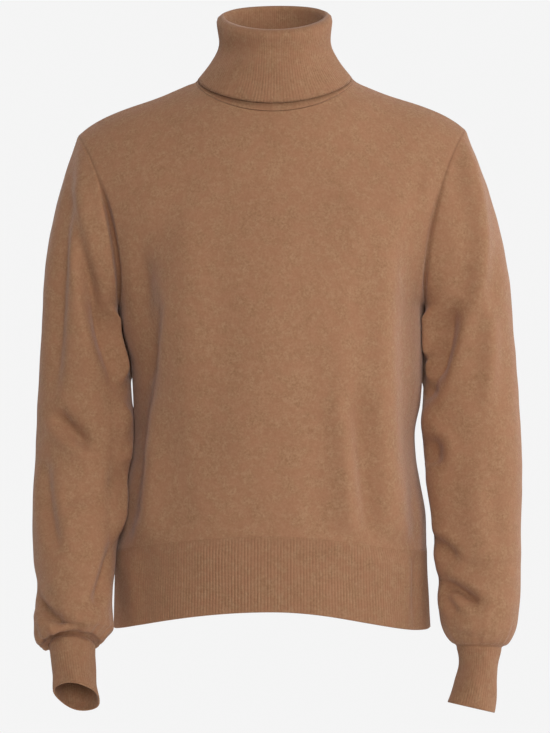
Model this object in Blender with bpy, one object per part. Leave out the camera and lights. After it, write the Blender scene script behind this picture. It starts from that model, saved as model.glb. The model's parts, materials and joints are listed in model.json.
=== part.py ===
"""A turtleneck sweater as it hangs on its wearer: hollow, with its neck, hem and cuffs open.

The tables are in millimetres and the scene in metres. +Z is up, the sweater faces -Y, and the
wearer's left is +X. The origin is at the middle of the neck's base, where the wearer holds it up.
"""

import math

import bmesh
import bpy
import numpy as np

MM = 0.001
WALL = 2.0  # thickness of the knitted cloth
SEAM_GAP = 0.3  # between two pieces that are linked together
COLLAR_LIFT = 0.5  # the collar's foot above the neckline, which slopes
RIB_HEIGHT = 0.7  # how far a rib stands above the furrow beside it

BODY_COLUMNS = 22  # round the front, and as many round the back
BODY_ROWS = 8  # from the rib up to the armpit
ARM_COLUMNS = 24  # round an armhole and its sleeve: the body has half as many rows beside it
CAP_RINGS = 5  # from the armhole to the upper arm
SOFTEN_ROUNDS = 4  # of smoothing where the cloth bends over the shoulders
HEM_RIBS = 154  # round the front, and as many round the back
CUFF_RIBS = 54
CUFF_INSIDE_STEP = 6  # ribbed columns to one of the plain inside
COLLAR_RIBS = 144

HEIGHT_TILT = 0.014  # the wearer's left shoulder is this much higher, as a slope
TILT_FROM, TILT_FULL = -300.0, -150.0


def table(names, rows):
    """A short table: the name of each column, with its values."""
    return dict(zip(names.split(), np.array(rows, float).T))


# The trunk's half widths to the wearer's right and left, and its depth before and behind.
TRUNK = table("height right left front back", [
    (-606, 173.5, 174.5, 124, 117.0),
    (-560, 173.0, 171.5, 124, 116.5),
    (-515, 172.0, 170.0, 125, 114.0),
    (-480, 168.0, 169.5, 126, 111.0),
    (-436, 161.0, 162.5, 128, 108.5),
    (-412, 155.6, 158.5, 129, 107.5),
    (-386, 151.8, 157.0, 130, 107.0),
    (-350, 152.8, 163.6, 132, 106.5),
    (-309, 155.4, 166.2, 134, 108.0),
    (-280, 163.0, 166.6, 136, 110.0),
    (-250, 168.0, 168.0, 136, 112.0),
])
ARMPIT = -250.0
HEM_SIDE_HEIGHT, HEM_FRONT_RISE, HEM_BACK_RISE = -598.5, 26.5, 8.5
RIB_SIDE_HEIGHT, RIB_FRONT_RISE = -511.0, 20.0

# The armhole's edge: 0 at the armpit, 90 in front, 180 at the shoulder, 270 behind.
ARMHOLE = table("turn x y height", [
    (0, 168.0, 0, -250),
    (25, 166.6, -26, -243),
    (50, 165.5, -46, -222),
    (75, 168.5, -58, -190),
    (100, 174.5, -60, -155),
    (125, 184.0, -52, -118),
    (150, 198.0, -33, -81),
    (165, 208.0, -14, -62),
    (180, 213.0, 5, -54),
    (195, 213.5, 22, -59),
    (215, 210.0, 39, -80),
    (240, 202.0, 54, -118),
    (265, 192.0, 60, -158),
    (290, 183.0, 55, -197),
    (315, 175.0, 42, -228),
    (340, 169.5, 21, -245),
    (360, 168.0, 0, -250),
])
ARMHOLE_MIDDLE = (0.0, -155.0)  # y and height

# The middle of the chest and of the upper back beside each turn of the armhole.
CHEST = table("turn height depth", [
    (0, -250, 136.0),
    (15, -236, 135.5),
    (30, -222, 134.0),
    (45, -205, 130.5),
    (60, -187, 125.0),
    (75, -168, 118.0),
    (90, -148, 110.0),
    (105, -127, 102.5),
])
UPPER_BACK = table("turn height depth", [
    (0, -250, 112.0),
    (15, -236, 112.5),
    (30, -220, 113.5),
    (45, -203, 114.5),
    (60, -184, 115.0),
    (75, -163, 114.5),
    (90, -140, 112.5),
    (105, -116, 109.0),
])
YOKE_TURN = 105.0  # above this turn the cloth bends over the shoulder in one sweep
YOKE_PULL = 0.38  # how far each end's direction carries, as a share of the sweep
YOKE_LEAVES = {-1: 0.34, 1: 0.16}  # how much each panel leans over as its sweep starts
# Which way a sweep runs as it reaches the top row: towards the neck, over the shoulder and up.
YOKE_ARRIVES = {
    -1: table("across neckward over up", [
        (0.00, 0.00, 0.60, 0.80),
        (0.27, 0.36, 0.62, 0.70),
        (0.55, 0.62, 0.66, 0.42),
        (0.75, 0.28, 0.86, 0.40),
        (1.00, 0.00, 0.93, 0.36),
    ]),
    1: table("across neckward over up", [
        (0.00, 0.00, 0.60, 0.80),
        (0.27, 0.36, 0.66, 0.60),
        (0.55, 0.62, 0.72, 0.22),
        (0.75, 0.28, 0.90, 0.26),
        (1.00, 0.00, 0.93, 0.36),
    ]),
}

# The shoulder's ridge, where the front and back are linked.
SHOULDER = table("x height", [
    (72, 5.0),
    (88, 0.0),
    (123, -13.8),
    (165, -27.4),
    (186, -36.0),
    (198, -42.6),
    (207, -48.8),
    (213, -54.0),
])

NECK_X, NECK_Y = 3.0, -7.0  # middle of the neck
NECK_SHARE = 6 / 11  # how much of the panel's top row is the neckline
NECK_WIDE, NECK_DEEP = 86.0, 71.0

# Heights round the neck at the front, the sides and the back.
NECKLINE_HEIGHT = (-38.0, 0.6, 11.0)
COLLAR_EDGE_HEIGHT = (-28.8, 3.4, 16.0)
COLLAR_TOP_HEIGHT = (51.0, 73.5, 90.0)

# The collar's profile, once round its wall. "down" runs from the top to the loose edge on the
# fall, and from the top to the neckline on the stand. The others are half widths.
COLLAR_FALL = table("down side front back rib", [
    (1.00, 84.4, 73.0, 74.0, 1.0),
    (0.73, 69.6, 68.6, 68.6, 1.0),
    (0.46, 60.8, 64.2, 64.0, 1.0),
    (0.09, 63.6, 64.6, 63.0, 0.8),
    (0.00, 58.6, 58.4, 58.0, 0.0),
])
COLLAR_STAND = table("down side front back", [
    (0.05, 53.9, 53.8, 53.5),
    (0.50, 55.4, 58.3, 57.4),
    (0.88, 71.5, 66.0, 65.2),
    (1.00, 84.0, 69.0, 69.0),
    (1.00, 86.0, 71.0, 71.0),
    (0.88, 73.5, 68.0, 67.2),
    (0.50, 57.4, 60.3, 59.4),
    (0.08, 56.0, 56.0, 55.6),
    (0.03, 58.7, 58.5, 58.1),
])
COLLAR_GAP_SIDE = table("down side front back", [
    (0.09, 61.6, 62.6, 61.0),
    (0.46, 58.8, 62.2, 62.0),
    (0.73, 67.6, 66.6, 66.6),
    (1.00, 82.4, 71.0, 72.0),
])

# The rings of a sleeve and its cuff: the middle's height, its distance from the body's middle,
# its y, and half sizes. The cuff starts at row CUFF_ROW, where the full sleeve is drawn in.
CUFF_ROW = 15
ARM_RIGHT = table("height x y wide deep tip", [
    (-272, 209.5, 1, 43.4, 50, 0),
    (-292, 207.5, 2, 47.0, 51, 0),
    (-312, 206.0, 3, 49.5, 51, 0),
    (-345, 205.8, 4, 51.6, 50, 2),
    (-380, 206.2, 3, 53.2, 49, 6),
    (-412, 208.8, -3, 52.0, 48, 12),
    (-447, 212.0, -15, 49.4, 47, 18),
    (-476, 212.8, -27, 48.0, 46, 20),
    (-501, 214.0, -38, 45.9, 46, 20),
    (-528, 213.6, -49, 43.9, 46, 18),
    (-549, 212.4, -58, 40.6, 44, 16),
    (-568, 213.7, -65, 41.5, 43, 13),
    (-584, 212.6, -71, 42.4, 43, 12),
    (-595, 212.6, -75, 43.2, 43, 17),
    (-603, 213.6, -78, 38.5, 39, 23),
    (-607, 214.2, -80, 25.6, 28, 26),
    (-625, 213.0, -87, 24.0, 27, 28),
    (-645, 210.6, -96, 23.6, 27, 33),
    (-663, 207.2, -106, 25.2, 28, 38),
])
ARM_LEFT = table("height x y wide deep tip", [
    (-272, 216.2, 1, 48.6, 50, 0),
    (-292, 217.4, 2, 50.0, 51, 0),
    (-312, 218.2, 3, 51.0, 51, 0),
    (-345, 218.8, 3, 52.6, 50, 0),
    (-378, 219.0, 2, 54.2, 49, 2),
    (-401, 220.6, 0, 54.2, 48, 4),
    (-430, 222.3, -4, 52.7, 48, 6),
    (-458, 224.0, -9, 50.4, 47, 8),
    (-490, 224.8, -15, 47.8, 46, 9),
    (-515, 224.8, -19, 47.4, 46, 9),
    (-540, 226.8, -24, 44.4, 45, 8),
    (-565, 225.9, -28, 44.3, 44, 8),
    (-588, 225.4, -32, 42.3, 42, 7),
    (-603, 225.6, -35, 37.2, 38, 6),
    (-612, 225.2, -37, 31.0, 32, 6),
    (-616, 225.0, -38, 25.6, 28, 6),
    (-637, 224.2, -43, 20.9, 27, 6),
    (-660, 220.0, -47, 23.4, 27.5, 6),
    (-681, 215.2, -50, 26.4, 28.5, 6),
])

SLEEVE_PULL = 0.35
# How a sleeve leaves the armhole at each turn: outwards, forwards and down.
SLEEVE_LEAVES = table("turn out fore down", [
    (0, 0.20, 0.00, 0.98),
    (45, 0.55, 0.30, 0.78),
    (90, 0.82, 0.22, 0.53),
    (135, 0.66, 0.12, 0.74),
    (180, 0.38, 0.00, 0.92),
    (225, 0.66, -0.12, 0.74),
    (270, 0.82, -0.22, 0.53),
    (315, 0.55, -0.30, 0.78),
    (360, 0.20, 0.00, 0.98),
])

# Folds, seen from in front or behind: each runs from its first place to its last, and bends
# towards its middle one. A trough has a depth below zero, a ridge above.
FOLD_COLUMNS = "x0 z0 x1 z1 x2 z2 width depth"
BODY_FOLDS = {
    -1: table(FOLD_COLUMNS, [
        (-142, -185, -139, -290, -150, -440, 13, -7.0),
        (-120, -240, -127, -275, -137, -320, 8, -3.0),
        (124, -190, 107, -340, 131, -490, 14, 4.0),
        (143, -200, 146, -300, 140, -420, 14, -3.5),
        (-60, -330, -66, -400, -62, -470, 18, -1.5),
        (88, -340, 95, -415, 104, -490, 12, -3.5),
    ]),
    1: table(FOLD_COLUMNS, [
        (-138, -150, -128, -280, -140, -420, 17, -5.0),
        (140, -160, 130, -270, 142, -410, 17, -4.5),
        (-52, -270, -60, -370, -50, -470, 18, -3.5),
        (58, -250, 52, -350, 64, -460, 18, -3.5),
        (-90, -340, -30, -372, 30, -345, 15, -2.5),
    ]),
}
SLEEVE_FOLDS = {
    (-1, -1): table(FOLD_COLUMNS, [
        (-223, -100, -231, -200, -243, -345, 13, -4.0),
        (-204, -135, -200, -225, -176, -318, 13, -4.5),
        (-236, -362, -218, -372, -200, -392, 13, -5.0),
        (-252, -548, -238, -566, -222, -576, 9, -4.0),
        (-172, -512, -176, -545, -190, -562, 9, -4.0),
    ]),
    (-1, 1): table(FOLD_COLUMNS, [
        (-212, -150, -222, -240, -236, -330, 15, -5.0),
        (-188, -372, -214, -384, -240, -368, 13, -5.0),
        (-186, -410, -212, -424, -238, -412, 12, -3.5),
        (-180, -545, -210, -560, -240, -552, 10, -3.5),
    ]),
    (1, -1): table(FOLD_COLUMNS, [
        (196, -250, 184, -306, 164, -350, 11, -6.0),
        (200, -60, 250, -170, 208, -280, 12, 4.0),
        (172, -392, 180, -404, 176, -420, 10, -4.5),
        (188, -546, 202, -556, 222, -566, 8, -4.5),
        (184, -505, 190, -520, 196, -528, 9, -3.0),
    ]),
    (1, 1): table(FOLD_COLUMNS, [
        (214, -150, 226, -240, 240, -330, 15, -5.0),
        (192, -372, 220, -386, 250, -372, 13, -5.0),
        (190, -412, 218, -428, 248, -414, 12, -3.5),
        (196, -540, 224, -556, 252, -546, 10, -3.5),
    ]),
}
FOLD_STEPS = 24

CAMEL = (0.33, 0.165, 0.082, 1.0)
CLOTH_ROUGHNESS = 0.95


def smooth(at, places, values):
    """A cubic curve through a table's rows that never overshoots them, flat beyond its ends."""
    at = np.clip(np.asarray(at, float), places[0], places[-1])
    steps = np.diff(values) / np.diff(places)
    before, after = steps[:-1], steps[1:]
    same_way = before * after > 0
    mean = 2 * before * after / np.where(same_way, before + after, 1.0)
    slopes = np.concatenate([steps[:1], np.where(same_way, mean, 0.0), steps[-1:]])
    row = np.clip(np.searchsorted(places, at) - 1, 0, len(places) - 2)
    step = places[row + 1] - places[row]
    t = (at - places[row]) / step
    return (
        values[row] * (1 + 2 * t) * (1 - t) ** 2
        + values[row + 1] * t**2 * (3 - 2 * t)
        + step * t * (1 - t) * (slopes[row] * (1 - t) - slopes[row + 1] * t)
    )


def round_about(at, rows, name):
    """The same curve through a table of turns, without a kink where it closes."""
    turns, values = rows["turn"], rows[name]
    turns = np.concatenate([turns[-4:-1] - 360, turns, turns[1:4] + 360])
    values = np.concatenate([values[-4:-1], values, values[1:4]])
    return smooth(np.mod(at, 360), turns, values)


def stack(x, y, z):
    return np.stack(np.broadcast_arrays(x, y, z), axis=-1)


def unit(vectors):
    return vectors / np.linalg.norm(vectors, axis=-1, keepdims=True)


def around_neck(turn, heights):
    """The height at a turn round the neck, 0 in front and 180 behind, from those at front, side and back."""
    front, side, back = heights
    middle = (front + back + 2 * side) / 4
    angle = np.radians(turn)
    return middle + (front - back) / 2 * np.cos(angle) + (middle - side) * np.cos(2 * angle)


def neck_ring(turn, wide, front, back, height):
    """A ring round the neck with its own half sizes to the side, before and behind."""
    sine, cosine = np.sin(np.radians(turn)), np.cos(np.radians(turn))
    deep = np.where(cosine > 0, front, back)
    return stack(NECK_X + wide * sine, NECK_Y - deep * cosine, height)


def neckline(turn):
    """The edge where the collar is linked to the body."""
    return neck_ring(turn, NECK_WIDE, NECK_DEEP, NECK_DEEP, around_neck(turn, NECKLINE_HEIGHT))


def armhole(turn, side):
    return stack(
        side * round_about(turn, ARMHOLE, "x"),
        round_about(turn, ARMHOLE, "y"),
        round_about(turn, ARMHOLE, "height"),
    )


def hem_rise(angle):
    """How much of its rise the hem has at an angle: it droops sooner to the wearer's left."""
    return np.abs(np.cos(np.radians(angle))) ** np.where(angle > 0, 3.4, 2.0)


def hem_height(angle, facing):
    """The loose edge: it rises over the bust in front and drops a little behind."""
    return HEM_SIDE_HEIGHT + (HEM_FRONT_RISE if facing < 0 else HEM_BACK_RISE) * hem_rise(angle)


def rib_height(angle, facing):
    """Where the hem's rib ends and plain knit begins."""
    return RIB_SIDE_HEIGHT + (RIB_FRONT_RISE if facing < 0 else HEM_BACK_RISE) * hem_rise(angle)


def trunk(angle, height, facing):
    """A point round the trunk, the angle from the middle of the front or back."""
    right = smooth(height, TRUNK["height"], TRUNK["right"])
    left = smooth(height, TRUNK["height"], TRUNK["left"])
    deep = smooth(height, TRUNK["height"], TRUNK["front" if facing < 0 else "back"])
    sine, cosine = np.sin(np.radians(angle)), np.cos(np.radians(angle))
    return stack(np.where(sine > 0, left, right) * sine, facing * deep * cosine, height)


def chest_row(across, turn, facing):
    """A row from armhole to armhole: an arc bent over the middle of the chest or back."""
    rows = CHEST if facing < 0 else UPPER_BACK
    middle_height = smooth(turn, rows["turn"], rows["height"])
    depth = smooth(turn, rows["turn"], rows["depth"])
    end = armhole(turn if facing < 0 else 360 - turn, 1)
    bend = np.arccos(facing * end[..., 1] / depth)
    share = (np.cos(bend * across) - np.cos(bend)) / (1 - np.cos(bend))
    return stack(
        end[..., 0] * np.sin(bend * across) / np.sin(bend),
        end[..., 1] + (facing * depth - end[..., 1]) * share,
        end[..., 2] + (middle_height - end[..., 2]) * share,
    )


def top_row(across):
    """The panel's top: the neckline, with a shoulder seam on each side of it."""
    share = np.clip((np.abs(across) - NECK_SHARE) / (1 - NECK_SHARE), 0, 1)
    side = np.sign(across)
    neck_point = neckline(90 * side)
    reach = np.abs(neck_point[..., 0])
    x = reach + share * (SHOULDER["x"][-1] - reach)
    y = neck_point[..., 1] + share * (armhole(180.0, 1)[1] - neck_point[..., 1])
    seam = stack(side * x, y, smooth(x, SHOULDER["x"], SHOULDER["height"]))
    return seam, share > 0


def yoke(across, share, facing):
    """From the chest or back up to the top row: each column is one cubic sweep over the shoulder."""
    start = chest_row(across, YOKE_TURN, facing)
    seam, on_shoulder = top_row(across)
    neck_turn = 90 * across / NECK_SHARE
    collar_edge = neckline(neck_turn if facing < 0 else 180 - neck_turn)
    end = np.where(on_shoulder[..., None], seam, collar_edge)
    pull = YOKE_PULL * np.linalg.norm(end - start, axis=-1, keepdims=True)
    leave = unit(np.array([0.0, -facing * YOKE_LEAVES[facing], 1.0]))
    rows = YOKE_ARRIVES[facing]
    neckward, over, up = (
        smooth(np.abs(across), rows["across"], rows[name]) for name in ("neckward", "over", "up")
    )
    arrive = unit(stack(-np.sign(across) * neckward, -facing * over, up))
    share = share[..., None]
    return (
        start * (1 - share) ** 3
        + 3 * (start + pull * leave) * (1 - share) ** 2 * share
        + 3 * (end - pull * arrive) * (1 - share) * share**2
        + end * share**3
    )


def body_surface(across, rise, facing):
    """The outside of the front (facing -1) or back (+1).

    across runs from -1 at the wearer's right edge to 1 at the left one. rise runs from -1 at the
    rib to 0 at the armpit and 1 at the shoulder seam.
    """
    angle = 90 * across
    foot = rib_height(angle, facing)
    low = trunk(angle, foot + (np.minimum(rise, 0) + 1) * (ARMPIT - foot), facing)
    turn = 180 * np.clip(rise, 0, 1)
    middle = chest_row(across, np.minimum(turn, YOKE_TURN), facing)
    share = np.clip((turn - YOKE_TURN) / (180 - YOKE_TURN), 0, 1)
    upper = yoke(across, share, facing)
    side = np.where(across < 0, -1.0, 1.0)
    edge = armhole(turn if facing < 0 else 360 - turn, side)
    drawn_in = (np.abs(across) ** 4)[..., None] * (edge - yoke(side, share, facing))
    upper = upper + drawn_in
    points = np.where((turn > YOKE_TURN)[..., None], upper, middle)
    return np.where((rise < 0)[..., None], low, points)


def soften(points, share, rounds):
    """Draws each inner point of a grid towards the middle of its four neighbours."""
    for _ in range(rounds):
        middle = (points[2:, 1:-1] + points[:-2, 1:-1] + points[1:-1, 2:] + points[1:-1, :-2]) / 4
        points[1:-1, 1:-1] += share[1:-1, 1:-1, None] * (middle - points[1:-1, 1:-1])
    return points


def fold_depth(points, folds):
    """How far the folds move each point: a soft bank across each line, fading at its ends."""
    moved = np.zeros(points.shape[:-1])
    t = np.linspace(0, 1, FOLD_STEPS)
    for x0, z0, x1, z1, x2, z2, width, depth in zip(*folds.values()):
        line_x = (1 - t) ** 2 * x0 + 2 * t * (1 - t) * x1 + t**2 * x2
        line_z = (1 - t) ** 2 * z0 + 2 * t * (1 - t) * z1 + t**2 * z2
        away = (points[..., 0, None] - line_x) ** 2 + (points[..., 2, None] - line_z) ** 2
        nearest = t[np.argmin(away, axis=-1)]
        fade = 1 - (2 * nearest - 1) ** 4
        moved += depth * (0.25 + 0.75 * fade) * np.exp(-away.min(axis=-1) / width**2)
    return moved


def outward(points, closed):
    """Unit normals of a grid of points [row, column], on its left as the columns run."""
    along = np.gradient(points, axis=0)
    if closed:
        around = np.roll(points, -1, axis=1) - np.roll(points, 1, axis=1)
    else:
        around = np.gradient(points, axis=1)
    return unit(np.cross(around, along))


def to_scene(points):
    """Leans the shoulders, and turns millimetres into metres."""
    lean = np.clip((points[..., 2] - TILT_FROM) / (TILT_FULL - TILT_FROM), 0, 1)
    lean = lean * lean * (3 - 2 * lean)
    leaning = points.copy()
    leaning[..., 2] += HEIGHT_TILT * points[..., 0] * lean
    return leaning * MM


def rim_faces(fine, coarse):
    """Triangles between two edges of a rim: the first has several steps to each of the other's."""
    steps = (len(fine) - 1) // (len(coarse) - 1)
    half = steps // 2
    faces = []
    for k in range(len(coarse) - 1):
        run = fine[k * steps : (k + 1) * steps + 1]
        faces += [(run[i], run[i + 1], coarse[k] if i < half else coarse[k + 1]) for i in range(steps)]
        faces.append((run[half], coarse[k + 1], coarse[k]))
    return faces


def cloth():
    material = bpy.data.materials.get("camel_knit") or bpy.data.materials.new("camel_knit")
    material.use_nodes = True
    shader = material.node_tree.nodes["Principled BSDF"]
    shader.inputs["Base Color"].default_value = CAMEL
    shader.inputs["Roughness"].default_value = CLOTH_ROUGHNESS
    shader.inputs["Metallic"].default_value = 0.0
    material.diffuse_color = CAMEL
    return material


def make(name, points, faces, parent):
    """One piece of cloth as a closed mesh whose faces point out."""
    mesh = bpy.data.meshes.new(name)
    mesh.from_pydata([tuple(p) for p in to_scene(points)], [], faces)
    piece = bpy.data.objects.new(name, mesh)
    bpy.context.scene.collection.objects.link(piece)
    piece.parent = parent
    mesh.materials.append(cloth())
    mesh.update()
    face_out(mesh)
    mesh.shade_smooth()
    mesh.set_sharp_from_angle(angle=math.radians(50))
    return piece


def face_out(mesh):
    """Turns every face of a closed mesh out, by the sign of the volume it holds."""
    work = bmesh.new()
    work.from_mesh(mesh)
    bmesh.ops.recalc_face_normals(work, faces=work.faces[:])
    if work.calc_volume(signed=True) < 0:
        bmesh.ops.reverse_faces(work, faces=work.faces[:])
    work.to_mesh(mesh)
    work.free()


def make_tube(name, rings, parent):
    """A wall of closed rings, once over its outside and back along its inside."""
    starts = np.cumsum([0] + [len(ring) for ring in rings])
    loops = [list(range(a, b)) + [a] for a, b in zip(starts[:-1], starts[1:])]
    faces = []
    for first, second in zip(loops, loops[1:] + loops[:1]):
        if len(first) == len(second):
            faces += list(zip(first[:-1], first[1:], second[1:], second[:-1]))
        elif len(first) > len(second):
            faces += rim_faces(first, second)
        else:
            faces += rim_faces(second, first)
    return make(name, np.concatenate(rings), faces, parent)


def make_panel(name, outer, inner, parent):
    """A wall with four edges: each row goes along its outside and back along its inside."""
    rows, wide = outer.shape[:2]
    row_points = np.concatenate([outer, inner[:, ::-1]], axis=1)
    size = row_points.shape[1]
    faces = []
    for r in range(rows - 1):
        loop = [r * size + i for i in range(size)] + [r * size]
        faces += [(a, b, b + size, a + size) for a, b in zip(loop[:-1], loop[1:])]
    for r in (0, rows - 1):
        loop = [r * size + i for i in range(size)]
        faces += rim_faces(loop[:wide], loop[wide:][::-1])
    return make(name, row_points.reshape(-1, 3), faces, parent)


def ribbed(columns):
    """Ridges and furrows by turns, one column each."""
    return RIB_HEIGHT * (0.5 - np.arange(columns) % 2)


def make_body(name, facing, parent):
    """The front or back panel."""
    across = np.linspace(-1, 1, BODY_COLUMNS + 1)
    rise = np.concatenate([np.linspace(-1, 0, BODY_ROWS + 1)[:-1], np.linspace(0, 1, ARM_COLUMNS // 2 + 1)])
    across, rise = np.meshgrid(across, rise)
    outer = body_surface(across, rise, facing)
    outer = soften(outer, 0.5 * np.clip((rise - 0.45) / 0.2, 0, 1), SOFTEN_ROUNDS)
    normal = outward(outer, False) * -facing
    steady = (1 - np.abs(across) ** 6) * np.clip((1 - rise) / 0.3, 0, 1) * np.clip((rise + 1) / 0.15, 0, 1)
    outer = outer + normal * (fold_depth(outer, BODY_FOLDS[facing]) * steady)[..., None]
    inward = -outward(outer, False) * -facing
    # At each seam both pieces take their thickness the same way, so that they meet face to face.
    side = np.where(across < 0, -1.0, 1.0)
    to_middle = stack(0 * rise, ARMHOLE_MIDDLE[0] - outer[..., 1], ARMHOLE_MIDDLE[1] - outer[..., 2])
    at_edge = np.abs(across) > 0.999
    inward = np.where((at_edge & (rise >= 0))[..., None], unit(to_middle), inward)
    inward = np.where((at_edge & (rise < 0))[..., None], stack(-side, 0, 0), inward)
    inward[0] = unit(inward[0] * [1, 1, 0])
    to_neck = unit(stack(NECK_X - outer[..., 0], NECK_Y - outer[..., 1], 0))
    at_top = rise > 0.999
    at_neck = at_top & (np.abs(across) < NECK_SHARE + 0.001)
    at_shoulder = at_top & ~at_neck & ~at_edge
    inward = np.where(at_neck[..., None], to_neck, inward)
    inward = np.where(at_shoulder[..., None], [0, 0, -1], inward)
    inner = outer + WALL * inward
    # Half of each seam's gap comes off this panel's edges.
    for points in (outer, inner):
        points[..., 1] = np.where(at_edge & (rise <= 0), facing * SEAM_GAP / 2, points[..., 1])
        points[..., 1] += np.where(at_shoulder | (at_edge & at_top), facing * SEAM_GAP / 2, 0)
        corner = at_neck & (np.abs(across) > NECK_SHARE - 0.001)
        points[..., 1] += np.where(corner, facing * SEAM_GAP / 2, 0)
    return make_panel(name, outer, inner, parent)


def make_hem(name, facing, parent):
    """A band of rib at the foot of the front or back."""
    ribs = np.linspace(-90, 90, 2 * HEM_RIBS + 1)
    coarse = np.linspace(-90, 90, BODY_COLUMNS + 1)
    top = np.interp(ribs, coarse, rib_height(coarse, facing)) - SEAM_GAP
    heights = np.stack([hem_height(ribs, facing), top])
    outer = trunk(np.broadcast_to(ribs, heights.shape), heights, facing)
    radial = outer * [1, 1, 0]
    inward = -unit(radial)
    inner = trunk(
        np.broadcast_to(coarse, (2, len(coarse))),
        np.stack([hem_height(coarse, facing), rib_height(coarse, facing) - SEAM_GAP]),
        facing,
    )
    inner = inner - WALL * unit(inner * [1, 1, 0])
    relief = ribbed(len(ribs))
    relief[[0, -1]] = 0
    outer = outer - inward * relief[None, :, None]
    for points in (outer, inner):
        points[:, [0, -1], 1] = facing * SEAM_GAP / 2
    return make_panel(name, outer, inner, parent)


def arm_ring(rows, side, row, turn, extra=0.0):
    """A ring of a sleeve or cuff: turn 0 faces the body, 90 forwards and 180 outwards.

    It leans inwards with the arm's middle line, and tips forwards by its own angle.
    """
    places = np.arange(len(rows["height"]), dtype=float)
    at = {name: smooth(row, places, values) for name, values in rows.items()}
    slant = smooth(row, places, np.gradient(rows["x"]) / np.gradient(rows["height"]))
    tip = np.radians(at["tip"])
    to_body = unit(stack(-side, 0, side * slant))
    forward = stack(0, -np.cos(tip), np.sin(tip))
    angle = np.radians(turn)[..., None]
    wide, deep = (at["wide"] + extra)[..., None], (at["deep"] + extra)[..., None]
    middle = stack(side * at["x"], at["y"], at["height"])
    return middle + wide * np.cos(angle) * to_body + deep * np.sin(angle) * forward


def sleeve_cap(turn, share, side, rows):
    """From the armhole to the upper arm: each column is one cubic sweep."""
    start = armhole(turn, side) + stack(side * SEAM_GAP, 0, 0)
    end = arm_ring(rows, side, 0 * turn, turn)
    leave = unit(stack(
        side * round_about(turn, SLEEVE_LEAVES, "out"),
        -round_about(turn, SLEEVE_LEAVES, "fore"),
        -round_about(turn, SLEEVE_LEAVES, "down"),
    ))
    pull = SLEEVE_PULL * np.linalg.norm(end - start, axis=-1, keepdims=True)
    share = share[..., None]
    return (
        start * (1 - share) ** 3
        + 3 * (start + pull * leave) * (1 - share) ** 2 * share
        + 3 * (end + pull * np.array([0.0, 0.0, 1.0])) * (1 - share) * share**2
        + end * share**3
    )


def make_sleeve(name, side, rows, parent):
    turns = np.arange(ARM_COLUMNS) * 360.0 / ARM_COLUMNS
    cap_turn, cap_share = np.meshgrid(turns, np.linspace(0, 1, CAP_RINGS + 1)[:-1])
    arm_turn, arm_row = np.meshgrid(turns, np.arange(CUFF_ROW + 1, dtype=float))
    outer = np.concatenate([
        sleeve_cap(cap_turn, cap_share, side, rows),
        arm_ring(rows, side, arm_row, arm_turn),
    ])
    middle = outer.mean(axis=1, keepdims=True)
    normal = outward(outer, True)
    normal *= np.sign((normal * (outer - middle)).sum(axis=(1, 2), keepdims=True))
    rings = np.arange(len(outer))
    steady = np.clip(rings / 2, 0, 1) * np.clip((len(outer) - 1 - rings) / 3, 0, 1)
    facing = np.where(normal[..., 1] < 0, -1, 1)
    depth = np.where(
        facing < 0, fold_depth(outer, SLEEVE_FOLDS[side, -1]), fold_depth(outer, SLEEVE_FOLDS[side, 1])
    )
    depth *= np.clip(np.abs(normal[..., 1]) * 2.5, 0, 1) * steady[:, None]
    outer = outer + normal * depth[..., None]
    inner = outer - WALL * normal
    start = outer[0]
    to_middle = stack(0 * turns, ARMHOLE_MIDDLE[0] - start[:, 1], ARMHOLE_MIDDLE[1] - start[:, 2])
    inner[0] = start + WALL * unit(to_middle)
    end = outer[-1]
    inner[-1] = end + WALL * unit(end.mean(axis=0) - end)
    return make_tube(name, list(outer) + list(inner[::-1]), parent)


def make_cuff(name, side, rows, parent):
    fine = np.arange(2 * CUFF_RIBS) * 180.0 / CUFF_RIBS
    coarse = fine[::CUFF_INSIDE_STEP]
    outer, inner = [], []
    for row in range(CUFF_ROW, len(rows["height"])):
        ring = arm_ring(rows, side, np.full(fine.shape, float(row)), fine)
        middle = ring.mean(axis=0)
        outer.append(ring + unit(ring - middle) * ribbed(len(fine))[:, None])
        inner.append(arm_ring(rows, side, np.full(coarse.shape, float(row)), coarse, -WALL))
    down = unit(outer[1].mean(axis=0) - outer[0].mean(axis=0))
    outer[0] = outer[0] + SEAM_GAP * down
    inner[0] = inner[0] + SEAM_GAP * down
    return make_tube(name, outer + inner[::-1], parent)


def make_collar(name, parent):
    """Linked to the neckline, up to the top, rolled over and down again."""
    fine = np.arange(2 * COLLAR_RIBS) * 180.0 / COLLAR_RIBS
    coarse = fine[:: 2 * COLLAR_RIBS // 24]
    rings = []

    def ring(turn, low_heights, down, side, front, back):
        low, top = around_neck(turn, low_heights), around_neck(turn, COLLAR_TOP_HEIGHT)
        return neck_ring(turn, side, front, back, top + down * (low - top))

    for down, side, front, back, rib in zip(*COLLAR_FALL.values()):
        points = ring(fine, COLLAR_EDGE_HEIGHT, down, side, front, back)
        away = unit((points - [NECK_X, NECK_Y, 0]) * [1, 1, 0])
        rings.append(points + away * (rib * ribbed(len(fine)))[:, None])
    for row in zip(*COLLAR_STAND.values()):
        points = ring(coarse, NECKLINE_HEIGHT, *row)
        points[:, 2] += COLLAR_LIFT * row[0]
        rings.append(points)
    for row in zip(*COLLAR_GAP_SIDE.values()):
        rings.append(ring(coarse, COLLAR_EDGE_HEIGHT, *row))
    return make_tube(name, rings, parent)


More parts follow.
